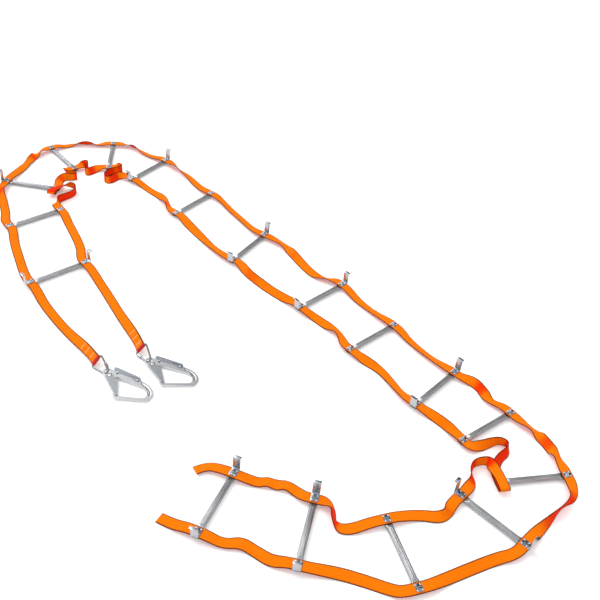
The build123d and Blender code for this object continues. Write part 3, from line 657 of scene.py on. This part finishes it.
def loopRows(bar, ahead, barAxis):  # once round the link's base bar, from the upper layer to the lower
    rise = barAxis.cross(ahead)
    spots = [(-loop["reach"], strap["sewnLayer"]), (-loop["neck"], loop["neckRise"])]
    spots += [tuple((heading(angle) * loop["radius"]).xy) for angle in loop["angles"]]
    spots += [(-loop["neck"], -loop["neckRise"]), (-loop["reach"], -strap["sewnLayer"])]
    folded = [(bar + ahead * p + rise * q, -barAxis) for p, q in spots]
    return strapRows(folded, loop["rowLength"], loop["rowTurn"])


for end in ("a", "b"):
    node = "strap_leg_" + end
    place = linkMatrix(end)
    barAxis = place.to_3x3() @ Vector((1, 0, 0))
    bar = place.to_translation()
    ahead = Vector((0, 0, 1)).cross(barAxis).normalized()
    edged = trimmed(withEdges(routeSpots(end, 17, 17)), 17, end, start=far)
    edged.append((bar - ahead * loop["lead"], -barAxis))
    edged.append((bar - ahead * loop["reach"], -barAxis))
    rows = strapRows(edged, strap["rowLength"], strap["rowTurn"])
    left = [loop["reach"]]
    for index in range(len(rows) - 1, 0, -1):
        left.insert(0, left[0] + (rows[index][0] - rows[index - 1][0]).length)
    single = grounded(rows, strap["thick"] / 2)
    double = grounded(rows, strap["thick"])
    lifted = [single[k][0].lerp(double[k][0], layerShare(left[k])) for k in range(len(rows))]
    rows = [(spot, forward, across) for spot, (centre, forward, across) in zip(lifted, rows)]
    layer = strap["sewnLayer"]
    # the legs take a smaller share of the painted shade
    paintedShadeShare = webbing["paintedShadeOnLegs"]
    upper = ribbonParts(rows, [layer * layerShare(value) for value in left], 0.0, paintedShadeShare)
    first = min(k for k in range(len(rows)) if left[k] <= strap["sewnLength"])
    lower = ribbonParts(rows[first:], [-layer] * (len(rows) - first), loop["weaveShift"], paintedShadeShare)
    turn = loopRows(bar, ahead, barAxis)
    cut = [k for k in range(len(turn)) if (turn[k][0] - bar).dot(ahead) > -loop["shadeWrapFrom"]]
    pieces = [upper, lower]
    for rest in (turn[: cut[0] + 1], turn[cut[-1] :]):
        pieces.append(ribbonParts(rest, [0.0] * len(rest), 0.0, paintedShadeShare))
    piece = ribbonPiece("webbing_leg_" + end, pieces)
    standsFor(piece, node, orangeWebbing)
    # painted shade: the wrap round the bar is a separate deep red piece
    wrapped = turn[cut[0] : cut[-1] + 1]
    shadeWrap = ribbonPiece("painted_shade_wrap_" + end, [ribbonParts(wrapped, [0.0] * len(wrapped))])
    dressed(shadeWrap, node, paintedShadeWrap)
    halves = [strap["thick"] / 2 + layer * layerShare(value) for value in left]
    sewing = edgeStitches("stitches_leg_" + end, rows, halves, end, (17,))
    dressed(sewing, node, blackThread)
    tacks = barTacks("bar_tacks_" + end, rows, left, halves)
    dressed(tacks, node, paleThread)
    path = [row[0] for row in rows] + [bar - ahead * loop["shadeWrapFrom"]]
print("stage: legs made")

# Rungs: fluted tube pressed flat and left open at both ends
rungTube = {
    "crest": 0.01245, "valley": 0.0119, "flutes": 24, "half": 0.1, "flat": 0.117, "stop": 0.1575,
    "width": 0.03, "height": 0.011, "corner": 0.004, "wall": 0.0026, "axis": 0.012473, "points": 96,
    "pressCuts": 7, "endCuts": (0.128, 0.15), "smooth": 30, "wave": 0.707,
}  # a flute has four points, and this wave puts two on its crest and two in its valley


def flatSpot(angle):  # where a spot of the round tube ends up on the flat one
    width = rungTube["width"] / 2
    height = rungTube["height"] / 2
    corner = rungTube["corner"]
    quarter = math.pi / 2
    turned = abs(angle) if abs(angle) <= quarter else math.pi - abs(angle)
    side = height - corner
    arc = corner * quarter
    walked = turned / quarter * (side + arc + width - corner)
    if walked < side:
        y, z = width, walked
    elif walked < side + arc:
        bend = (walked - side) / corner
        y, z = width - corner + corner * math.cos(bend), side + corner * math.sin(bend)
    else:
        y, z = width - corner - (walked - side - arc), height
    return math.copysign(y, math.cos(angle)), math.copysign(z, angle)


def modelRung():
    form = {"vertices": rungTube["points"], "radius": rungTube["crest"], "depth": 2 * rungTube["stop"]}
    lying = {"end_fill_type": "NOTHING", "rotation": (0, math.pi / 2, 0)}
    piece = begun(bpy.ops.mesh.primitive_cylinder_add, **form, **lying)
    bpy.ops.object.transform_apply(location=False, rotation=True, scale=False)
    piece.data.transform(Matrix.Rotation(math.pi / rungTube["points"], 4, "X"))
    bpy.ops.object.mode_set(mode="EDIT")
    pressed = rungTube["flat"] - rungTube["half"]
    steps = [k / rungTube["pressCuts"] for k in range(rungTube["pressCuts"] + 1)]
    for cut in [0.0] + [rungTube["half"] + pressed * step for step in steps] + list(rungTube["endCuts"]):
        for side in (-1, 1):
            bpy.ops.mesh.select_all(action="SELECT")
            bpy.ops.mesh.bisect(plane_co=(side * cut, 0, 0), plane_no=(1, 0, 0))
    bpy.ops.object.mode_set(mode="OBJECT")
    for vertex in piece.data.vertices:
        x, y, z = vertex.co
        angle = math.atan2(z, y)
        wave = 0.5 + rungTube["wave"] * math.cos(rungTube["flutes"] * angle)
        radius = rungTube["valley"] + (rungTube["crest"] - rungTube["valley"]) * wave
        share = eased((abs(x) - rungTube["half"]) / pressed)
        flatY, flatZ = flatSpot(angle)
        y = radius * math.cos(angle) * (1 - share) + flatY * share
        z = radius * math.sin(angle) * (1 - share) + flatZ * share
        vertex.co = (x, y, z)
    cleaned(piece, rungTube["smooth"])
    modified(piece, "SOLIDIFY", thickness=rungTube["wall"], offset=-1, use_even_offset=True)
    layer = piece.data.uv_layers.get("draw") or piece.data.uv_layers.new(name="draw")
    for polygon in piece.data.polygons:
        middle = math.atan2(polygon.center.z, polygon.center.y)
        for loop in polygon.loop_indices:
            x, y, z = piece.data.vertices[piece.data.loops[loop].vertex_index].co
            angle = math.atan2(z, y)
            if abs(angle - middle) > math.pi:
                angle += math.copysign(2 * math.pi, middle)
            layer.data[loop].uv = (x * 1000, angle * dieLines["radius"])
    for other in [item.name for item in piece.data.uv_layers if item.name != "draw"]:
        piece.data.uv_layers.remove(piece.data.uv_layers[other])
    only(piece)
    bpy.ops.object.shade_smooth_by_angle(angle=math.radians(rungTube["smooth"]))
    return piece


rungMaster = modelRung()
for number, (x, y, angle) in rungPlaces.items():
    node = "rung_{:02d}".format(number)
    place = Matrix.Translation((x, y, rungTube["axis"])) @ Matrix.Rotation(math.radians(angle), 4, "Z")
    standsFor(copies(rungMaster, "tube_{:02d}".format(number), [place]), node, aluminium)
bpy.data.objects.remove(rungMaster)
print("stage: rungs made")

# Clamps: ribbed plate, four rivets and, at some rungs, a stand-off bracket
plate = {
    "columns": (0, 1.4, 2.1, 2.6, 3.2, 3.7, 4.2, 4.8, 5.3, 6.0, 13.0, 15.5), "length": 0.027, "thick": 0.0016,
    "rib": 3.7, "ribHalf": 2.3, "ribRise": 1.6, "base": 0.021123, "corner": 0.0018, "edge": 0.0003,
}
bracket = {
    "thick": 0.002, "foot": -0.0155, "upright": 0.0242, "high": 0.057, "lip": 0.0372, "wide": 0.03,
    "bend": 0.0026, "corner": 0.0016, "edge": 0.0003, "gap": 0.00005,
}
rivet = {
    "shaft": 2.4, "head": 4.2, "rise": 2.2, "tail": 1.8, "across": 0.0105, "along": 0.009, "low": 6.923,
    "gap": 0.05, "steps": 14,
}
rivetHead = [(0, 0.86), (0.22, 0.86), (0.32, 1), (0.6, 0.9), (0.84, 0.62), (0.98, 0.26), (1, 0)]
rivetTail = [(1, 0), (0.9, 0.6), (0.55, 0.95), (0, 1)]
sameSpot = 0.0001  # metres within which two places count as one


def sheeted(piece, spec, offset):  # rounds the picked corners of a flat sheet and gives it its thickness
    bpy.ops.mesh.bevel(affect="VERTICES", offset=spec["corner"], segments=3)
    bpy.ops.object.mode_set(mode="OBJECT")
    modified(piece, "SOLIDIFY", thickness=spec["thick"], offset=offset)
    bevelled(piece, spec["edge"], 2, finish["sheetCorner"])
    cleaned(piece)
    return piece


def modelPlate():
    half = [value / 1000 for value in plate["columns"]]
    columns = [-value for value in reversed(half[1:])] + half
    cells = {"x_subdivisions": len(columns) - 1, "y_subdivisions": 1}
    piece = begun(bpy.ops.mesh.primitive_grid_add, size=1, **cells)
    found = sorted({round(vertex.co.x, 5) for vertex in piece.data.vertices})
    for vertex in piece.data.vertices:
        x = columns[found.index(round(vertex.co.x, 5))]
        away = abs(abs(x) * 1000 - plate["rib"])
        rise = plate["ribRise"] * math.cos(math.pi / 2 * min(away / plate["ribHalf"], 1)) ** 2
        vertex.co = (x, math.copysign(plate["length"] / 2, vertex.co.y), rise / 1000)
    picked(piece, "VERT", lambda vertex: abs(vertex.co.x) > half[-1] - sameSpot)
    return sheeted(piece, plate, 1)


def modelBracket():
    piece = begun(bpy.ops.mesh.primitive_plane_add, size=1)
    for vertex in piece.data.vertices:
        x = bracket["upright"] if vertex.co.x > 0 else bracket["foot"]
        vertex.co = (x, math.copysign(bracket["wide"] / 2, vertex.co.y), bracket["thick"] / 2)
    picked(piece, "EDGE", lambda edge: all(piece.data.vertices[k].co.x > 0 for k in edge.vertices))
    up = bracket["high"] - bracket["thick"] / 2
    out = bracket["lip"] - bracket["upright"]
    bpy.ops.mesh.extrude_region_move(TRANSFORM_OT_translate={"value": (0, 0, up)})
    bpy.ops.mesh.extrude_region_move(TRANSFORM_OT_translate={"value": (out, 0, 0)})

    def onBend(edge):
        first, second = (piece.data.vertices[k].co for k in edge.vertices)
        level = abs(first.z - second.z) < sameSpot
        return level and all(abs(spot.x - bracket["upright"]) < sameSpot for spot in (first, second))

    picked(piece, "EDGE", onBend)
    bpy.ops.mesh.bevel(offset=bracket["bend"], segments=5)
    ends = bracket["foot"] + sameSpot, bracket["lip"] - sameSpot
    picked(piece, "VERT", lambda vertex: not ends[0] <= vertex.co.x <= ends[1])
    return sheeted(piece, bracket, 0)


def spunPiece(name, outline, steps):
    points = [(x / 1000, 0, z / 1000) for x, z in outline]
    piece = meshPiece(name, points, [], [(k, k + 1) for k in range(len(points) - 1)])
    only(piece)
    bpy.ops.object.mode_set(mode="EDIT")
    bpy.ops.mesh.select_all(action="SELECT")
    bpy.ops.mesh.spin(steps=steps, angle=2 * math.pi, center=(0, 0, 0), axis=(0, 0, 1))
    bpy.ops.object.mode_set(mode="OBJECT")
    cleaned(piece, finish["round"])
    return piece


def rivetOutline(shaft, low, high, head, rise, tailHead, tail):
    top = [(head * out, high + rise * up) for out, up in rivetHead]
    bottom = [(tailHead * out, low - tail * down) for out, down in rivetTail]
    return top + [(shaft, high), (shaft, low)] + bottom


plateMaster = modelPlate()
bracketMaster = modelBracket()
lifted = {False: 0, True: bracket["thick"] + bracket["gap"]}  # a bracket's foot lies under the plate
rivetMasters = {}
for held, lift in lifted.items():
    top = (plate["base"] + lift + plate["thick"]) * 1000 + rivet["gap"]
    size = {"shaft": rivet["shaft"], "head": rivet["head"], "rise": rivet["rise"]}
    outline = rivetOutline(low=rivet["low"], high=top, tailHead=rivet["head"], tail=rivet["tail"], **size)
    rivetMasters[held] = spunPiece("rivet", outline, rivet["steps"])

groups = {"main": range(4, 16), "third": [3], "tail": [1, 2], "head": [16, 17]}
for group, numbers in groups.items():
    plates, brackets, rivets = [], [], {False: [], True: []}
    for number in numbers:
        angle = rungPlaces[number][2]
        for side, half in (("a", 0), ("b", 180)):
            spot = clampAt(number, side)
            held = number in bracketed[side]
            level = plate["base"] + lifted[held]
            turn = Matrix.Rotation(math.radians(angle), 4, "Z")
            plates.append(Matrix.Translation((spot.x, spot.y, level)) @ turn)
            if held:
                flip = Matrix.Rotation(math.radians(angle + half), 4, "Z")
                brackets.append(Matrix.Translation((spot.x, spot.y, plate["base"])) @ flip)
            across = heading(angle) * rivet["across"]
            along = heading(angle + 90) * rivet["along"]
            for i, j in ((-1, -1), (-1, 1), (1, -1), (1, 1)):
                place = across * i + along * j
                rivets[held].append(Matrix.Translation((spot.x + place.x, spot.y + place.y, 0)))
    standsFor(copies(plateMaster, "plates_" + group, plates), "clamps_" + group, plateSteel)
    if brackets:
        piece = copies(bracketMaster, "standoffs_" + group, brackets)
        standsFor(piece, "brackets_" + group, bracketSteel)
    parts = [
        copies(rivetMasters[held], "rivets_" + group + "_" + str(held), places)
        for held, places in rivets.items()
        if places
    ]
    standsFor(joined(parts, "rivet_set_" + group), "rivets_" + group, rivetSteel)
for master in (plateMaster, bracketMaster, *rivetMasters.values()):
    bpy.data.objects.remove(master)
print("stage: clamps made")


# Links and hooks
def curvePiece(name, outlines, closed, **settings):
    curve = bpy.data.curves.new(name, "CURVE")
    for key, value in settings.items():
        setattr(curve, key, value)
    for spots in outlines:
        splineThrough(curve, "POLY", spots).use_cyclic_u = closed
    only(linked(name, curve))
    bpy.ops.object.convert(target="MESH")
    return bpy.context.object


def wirePiece(name, points, radius, sides):
    form = {"dimensions": "3D", "bevel_depth": radius, "bevel_resolution": sides, "use_fill_caps": True}
    piece = curvePiece(name, [points], False, **form)
    cleaned(piece, finish["round"])
    return piece


def arcSpots(centre, radius, start, stop, count):
    spots = []
    for k in range(count + 1):
        angle = math.radians(start + (stop - start) * k / count)
        spots.append(Vector((centre[0] + radius * math.cos(angle), centre[1] + radius * math.sin(angle), 0)))
    return spots


def legLine(side):  # a link's straight side, tangent to its corner and to its top bend
    corner = Vector((side * (link["half"] - link["corner"]), link["corner"], 0))
    apex = Vector((0, link["length"] - link["apex"], 0))
    span = apex - corner
    turn = math.atan2(span.y, side * span.x) - math.acos((link["corner"] - link["apex"]) / span.length)
    outward = Vector((side * math.cos(turn), math.sin(turn), 0))
    start = corner + outward * link["corner"]
    stop = apex + outward * link["apex"]
    return start, stop, (stop - start).normalized(), math.degrees(turn)


sleeve = {"flats": 0.012, "length": 0.022, "bore": 0.00405, "edge": 0.0009}


def modelLink(side, nearBase):
    start, stop, way, turn = legLine(side)
    middle = link["inset"] if nearBase else (stop - start).length - link["inset"]
    apex = (0, link["length"] - link["apex"])
    inner = link["half"] - link["corner"]
    first = turn if side > 0 else 180 - turn
    last = 180 - turn if side > 0 else turn
    wide, narrow = link["bends"]
    points = [start + way * (middle + link["gap"] / 2), stop]
    points += arcSpots(apex, link["apex"], first, last, wide)[1:]
    for sign, begin in ((-side, last), (side, -90)):
        centre = (sign * inner, link["corner"])
        points += arcSpots(centre, link["corner"], begin, begin + side * (90 + turn), narrow)
    points.append(start + way * (middle - link["gap"] / 2))
    wire = wirePiece("wire", points, link["radius"], link["sides"])
    corners = sleeve["flats"] / 2 / math.cos(math.pi / 6)
    cylinder = bpy.ops.mesh.primitive_cylinder_add
    nut = begun(cylinder, vertices=6, radius=corners, depth=sleeve["length"])
    nut.data.transform(Matrix.Rotation(math.pi / 6, 4, "Z"))
    bevelled(nut, sleeve["edge"], 3)
    cutAway(nut, begun(cylinder, vertices=32, radius=sleeve["bore"], depth=2 * sleeve["length"]))
    cleaned(nut)
    nut.data.transform(axesMatrix(start + way * middle, Vector((0, 0, 1)), way))
    return wire, nut


def outlinePlate(name, outline, holes, half):
    flat = [[(x, y, 0) for x, y in spots] for spots in [outline] + holes]
    piece = curvePiece(name, flat, True, dimensions="2D", fill_mode="BOTH", extrude=half)
    cleaned(piece)
    return piece


def millimetres(spots):
    return [(x / 1000, y / 1000) for x, y in spots]


def softBend(spots, firstWay, lastWay, count):  # a smooth outline through all the spots
    curve = bpy.data.curves.new("bend", "CURVE")
    curve.dimensions = "3D"
    curve.resolution_u = count
    spline = curve.splines.new("BEZIER")
    spline.bezier_points.add(len(spots) - 1)
    for k, (point, spot) in enumerate(zip(spline.bezier_points, spots)):
        way = Vector(firstWay) if k == 0 else Vector(lastWay) if k == len(spots) - 1 else stepAt(spots, k)
        way.normalize()
        back = (Vector(spot) - Vector(spots[max(k - 1, 0)])).length / 3
        fore = (Vector(spots[min(k + 1, len(spots) - 1)]) - Vector(spot)).length / 3
        point.co = (*spot, 0)
        point.handle_left = (*(Vector(spot) - way * back), 0)
        point.handle_right = (*(Vector(spot) + way * fore), 0)
    return [(point.x, point.y) for point in curvePoints(curve)]


hook = {
    "half": 0.0035, "eye": 0.0145, "ring": 0.021, "gatePivot": (0.0222, 0.0045), "boss": 0.0125,
    "leverPivot": (0.08, 0.105), "leverPin": (0.0144, 0.04), "slope": 0.0505, "lean": 38.5,
    "notch": (0.0215, 0.033), "notchHalf": 0.0034, "gateBore": 0.00405, "pinBore": 0.00255, "edge": 0.001,
    "grooveRadius": 0.004, "grooveFlat": 0.22,
}
hookBack = [(86, 116), (116, 139), (153, 150), (186, 139), (200, 104)]
hookNose = [(154, 4), (151, -7), (126, -10.5), (123, -3), (141, -0.6), (143, 11)]
hookThroat = [(180, 97), (175, 117), (153, 125), (131, 119), (113, 105)]
hookGroove = [(105, 117), (128, 132), (153, 137.5), (178, 129), (189, 106)]


def modelHookBody():
    def arc(centre, radius, start, stop, count):
        return [(spot.x, spot.y) for spot in arcSpots(centre, radius, start, stop, count)]

    outline = millimetres([(-14.85, 14.85), (9.84, 39.54), (19.14, 30.56)])
    outline += arc(hook["notch"], hook["notchHalf"], 226, 406, 10)[1:-1]
    outline += millimetres([(23.86, 35.44), (14.64, 44.34)])
    outline += millimetres(softBend(hookBack, (1, 1), (-0.42, -0.91), 8))
    outline += millimetres(hookNose)
    outline += millimetres(softBend(hookThroat, (0.395, 0.919), (-1, -1), 8))
    outline += millimetres([(42, 34)])
    outline += arc(hook["gatePivot"], hook["boss"], 17.8, -102.3, 14)
    outline += arc((0, 0), hook["ring"], -21.5, -225, 28)[1:-1]
    bores = (
        ((0, 0), hook["eye"], 40), (hook["gatePivot"], hook["gateBore"], 24),
        (hook["leverPivot"], hook["pinBore"], 16),
    )
    holes = [arc(centre, radius, 0, 360, count)[:-1] for centre, radius, count in bores]
    piece = outlinePlate("hookBody", outline, holes, hook["half"])
    bevelled(piece, hook["edge"], 3, finish["hookCorner"])
    groove = millimetres(softBend(hookGroove, (0.75, 0.62), (0.35, -0.9), 10))
    for side in (-1, 1):
        points = [Vector((x, y, 0)) for x, y in groove]
        cutter = wirePiece("groove", points, hook["grooveRadius"], 5)
        cutter.data.transform(Matrix.Scale(hook["grooveFlat"], 4, (0, 0, 1)))
        cutter.data.transform(Matrix.Translation((0, 0, side * hook["half"])))
        cutAway(piece, cutter)
    cleaned(piece, finish["cut"])
    return piece


sheet = {"half": 0.0055, "inside": 0.004, "edge": 0.0009, "wire": 0.0008, "gap": 0.0001, "drill": 0.03}
gateOutline = [
    (20, -15), (34, -13.5), (70, -9), (104, -3.5), (138.5, 0.6), (138, 9), (112, 15), (86, 21), (64, 27),
    (48, 27), (36, 21), (24, 16), (15, 12.5), (12.2, 4.5), (14, -4),
]
gateHollow = [
    (20, -13.5), (20, -30), (-10, -30), (-10, 45), (150, 45), (150, 3.4), (138.5, 2.1), (104, -2), (70, -7.5),
    (34, -12),
]
leverOutline = [
    (-17, 37), (-14, 42), (70, 120.5), (78, 120), (86, 115), (90, 108), (87, 100), (74, 92), (54, 80),
    (29, 54), (10, 36), (-6, 26),
]
leverHollow = [
    (70, 118.5), (70, 130), (110, 130), (110, 70), (40, 10), (-30, 10), (-30, 32), (-15.9, 36), (-13, 40.2),
]

spring = {
    "gateRadius": 0.01, "gateLegEnd": (0.072, 0.0145), "gateArc": (240, 90), "leverRadius": 0.007,
    "leverLeg": 0.04, "leverArc": (-15, 135), "steps": 20, "sides": 3,
}
pins = {  # millimetres: shaft and head radius, head rise, tail radius, tail drop
    "gate": (4.0, 8.5, 3.0, 6.5, 1.8), "lever": (2.5, 5.0, 1.8, 5.0, 1.4), "latch": (2.5, 4.4, 1.6, 4.4, 1.4),
}


def modelSheet(name, outline, hollow, holes):
    piece = outlinePlate(name, millimetres(outline), [], sheet["half"])
    bevelled(piece, sheet["edge"], 3, finish["sheetCorner"])
    cutAway(piece, outlinePlate("hollow", millimetres(hollow), [], sheet["inside"]))
    for centre, radius in holes:
        drill = begun(bpy.ops.mesh.primitive_cylinder_add, vertices=24, radius=radius, depth=sheet["drill"])
        drill.data.transform(Matrix.Translation((*centre, 0)))
        cutAway(piece, drill)
    cleaned(piece, finish["cut"])
    return piece


def modelSpring(name, centre, radius, arc, legEnd):
    spots = arcSpots(centre, radius, *arc, spring["steps"])
    spots.append(Vector((legEnd[0], legEnd[1], 0)))
    piece = wirePiece(name, spots, sheet["wire"], spring["sides"])
    piece.data.transform(Matrix.Translation((0, 0, sheet["half"] + sheet["gap"] + sheet["wire"])))
    return piece


def pinPiece(centre, shaft, head, rise, tailHead, tail):
    face = (sheet["half"] + sheet["gap"]) * 1000
    piece = spunPiece("pin", rivetOutline(shaft, -face, face, head, rise, tailHead, tail), 24)
    piece.data.transform(Matrix.Translation((*centre, 0)))
    return piece


hookBodyMaster = modelHookBody()
gateMaster = modelSheet("gate", gateOutline, gateHollow, [(hook["gatePivot"], hook["gateBore"])])
leverHoles = [(hook["leverPivot"], hook["pinBore"]), (hook["leverPin"], hook["pinBore"])]
leverMaster = modelSheet("lever", leverOutline, leverHollow, leverHoles)
gateCoil = (hook["gatePivot"], spring["gateRadius"], spring["gateArc"])
gateSpringMaster = modelSpring("gateSpring", *gateCoil, spring["gateLegEnd"])
coilEnd = spring["leverArc"][1]
lastSpot = Vector((*hook["leverPivot"], 0)) + heading(coilEnd) * spring["leverRadius"]
leverLeg = lastSpot + heading(coilEnd + 90) * spring["leverLeg"]
leverCoil = (hook["leverPivot"], spring["leverRadius"], spring["leverArc"])
leverSpringMaster = modelSpring("leverSpring", *leverCoil, leverLeg)
gatePin = pinPiece(hook["gatePivot"], *pins["gate"])
leverPivotPin = pinPiece(hook["leverPivot"], *pins["lever"])
latchPin = pinPiece(hook["leverPin"], *pins["latch"])
gatePin = joined([gatePin, leverPivotPin], "pins")

for end, spec in hookEnds.items():
    place = linkMatrix(end)
    wire, nut = modelLink(spec["side"], spec["near"])
    wire.data.transform(place)
    nut.data.transform(place)
    wire.name = "link_wire_" + end
    nut.name = "link_sleeve_" + end
    standsFor(wire, "link_" + end, linkSteel)
    standsFor(nut, "sleeve_" + end, linkSteel)
    eye = place @ Vector((0, link["length"] + link["eyePast"], 0))
    lean = heading(spec["gate"] + hook["lean"]) * hook["slope"]
    normal = Vector((lean.x, lean.y, 1)).normalized()
    way = heading(spec["gate"])
    place = axesMatrix(eye, way - normal * way.dot(normal), normal)
    for master, name, node, material, slot in (
        (hookBodyMaster, "hook_plate_", "hook_body_", hookSteel, "hook_steel"),
        (gateMaster, "gate_sheet_", "gate_", gateSteel, "gate_steel"),
        (leverMaster, "lever_sheet_", "lever_", leverSteel, "lever_steel"),
        (gateSpringMaster, "gate_wire_", "gate_spring_", springSteel, "spring_steel"),
        (leverSpringMaster, "lever_wire_", "lever_spring_", springSteel, "spring_steel"),
        (gatePin, "pivot_pins_", "hook_rivets_", rivetSteel, "rivet_steel"),
        (latchPin, "latch_pin_", "lever_pin_", rivetSteel, "rivet_steel"),
    ):
        standsFor(copies(master, name + end, [place]), node + end, material)
masters = (
    hookBodyMaster, gateMaster, leverMaster, gateSpringMaster, leverSpringMaster, gatePin, latchPin,
)
for master in masters:
    bpy.data.objects.remove(master)
print("stage: hooks made")

# Floor, light and camera
ground = {"size": 80, "colour": "F7F7F7", "roughness": 0.95, "glow": 0.16}
floor = begun(bpy.ops.mesh.primitive_plane_add, size=ground["size"], location=(0, 0, 0))
floor.name = "floor"
paper, tree, shader = newMaterial("white_paper", ground["colour"], ground["roughness"])  # plain studio paper
ray = addNode(tree, "LightPath", {})
seen = addNode(tree, "Math", {0: ray["Is Camera Ray"], 1: ray["Is Glossy Ray"]}, operation="MAXIMUM")
white = addNode(tree, "Math", {0: seen[0], 1: ground["glow"]}, operation="MULTIPLY")
tree.links.new(white[0], shader.inputs["Emission Strength"])
shader.inputs["Emission Color"].default_value = colour("FFFFFF")
shader.inputs["Specular IOR Level"].default_value = 0.0
floor.data.materials.append(paper)

sky = {
    "low": "5A5F65", "card": "17191C", "horizon": "3A3E43", "strength": 1.0, "glow": (0.02, 0.4),
    "mirror": (0.03, 0.3), "cardBottom": (0.3, 0.48), "cardTop": (0.86, 0.72), "cardFront": (0.2, 0.5),
    "cardLeft": (-0.14, 0.02),
    "axes": {
        "glow": "Z", "mirror": "Z", "cardBottom": "Z", "cardTop": "Z", "cardFront": "Y", "cardLeft": "X",
    },
}  # metal mirrors a white room with a dark horizon and one dark card
world = bpy.data.worlds.new("studio")
bpy.context.scene.world = world
world.use_nodes = True
tree = world.node_tree
tree.nodes.clear()
direction = addNode(tree, "TexCoord", {})
parts = addNode(tree, "SeparateXYZ", {0: direction["Generated"]})
steps = {}
for name, axis in sky["axes"].items():
    limits = {"Value": parts[axis], **span(*sky[name])}
    steps[name] = addNode(tree, "MapRange", limits, interpolation_type="SMOOTHSTEP")[0]
card = steps["cardBottom"]
for name in ("cardTop", "cardFront", "cardLeft"):
    card = addNode(tree, "Math", {0: card, 1: steps[name]}, operation="MULTIPLY")[0]
white = colour("FFFFFF")
glow = addNode(tree, "Mix", {0: steps["glow"], 6: colour(sky["low"]), 7: white}, data_type="RGBA")
horizon = addNode(tree, "Mix", {0: steps["mirror"], 6: colour(sky["horizon"]), 7: white}, data_type="RGBA")
mirrored = addNode(tree, "Mix", {0: card, 6: horizon[2], 7: colour(sky["card"])}, data_type="RGBA")
ray = addNode(tree, "LightPath", {})
shown = addNode(tree, "Mix", {0: ray["Is Glossy Ray"], 6: white, 7: mirrored[2]}, data_type="RGBA")
seen = addNode(tree, "Math", {0: ray["Is Camera Ray"], 1: ray["Is Glossy Ray"]}, operation="MAXIMUM")
soft = addNode(tree, "Background", {"Color": glow[2], "Strength": sky["strength"]})
plain = addNode(tree, "Background", {"Color": shown[2], "Strength": 1.0})
choice = addNode(tree, "MixShader", {0: seen[0], 1: soft[0], 2: plain[0]})
addNode(tree, "OutputWorld", {"Surface": choice[0]})

key = {"strength": 1.3, "spread": 38, "from": (-0.55, 0.4, 0.8), "place": (-2, 1.5, 4)}
lamp = bpy.data.lights.new("key", "SUN")
lamp.energy = key["strength"]
lamp.angle = math.radians(key["spread"])
lampHolder = linked("key", lamp)
lampHolder.location = key["place"]
lampHolder.rotation_euler = (-Vector(key["from"])).to_track_quat("-Z", "Y").to_euler()

view = {"place": (0.296, -2.833, 2.373), "pitch": 38.9, "roll": 6.2, "lens": 47.34, "sensor": 36, "far": 200}
pitch = math.radians(view["pitch"])
roll = math.radians(view["roll"])
forward = Vector((0, math.cos(pitch), -math.sin(pitch)))
upward = Vector((0, math.sin(pitch), math.cos(pitch)))
right = Vector((1, 0, 0)) * math.cos(roll) + upward * math.sin(roll)
camera = bpy.data.cameras.new("camera")
camera.lens = view["lens"]
camera.sensor_width = view["sensor"]
camera.clip_end = view["far"]
cameraHolder = linked("camera", camera)
cameraHolder.matrix_world = axesMatrix(Vector(view["place"]), right, -forward)
bpy.context.scene.camera = cameraHolder
bpy.context.scene.view_settings.view_transform = "Standard"
print("stage: floor, light and camera set")
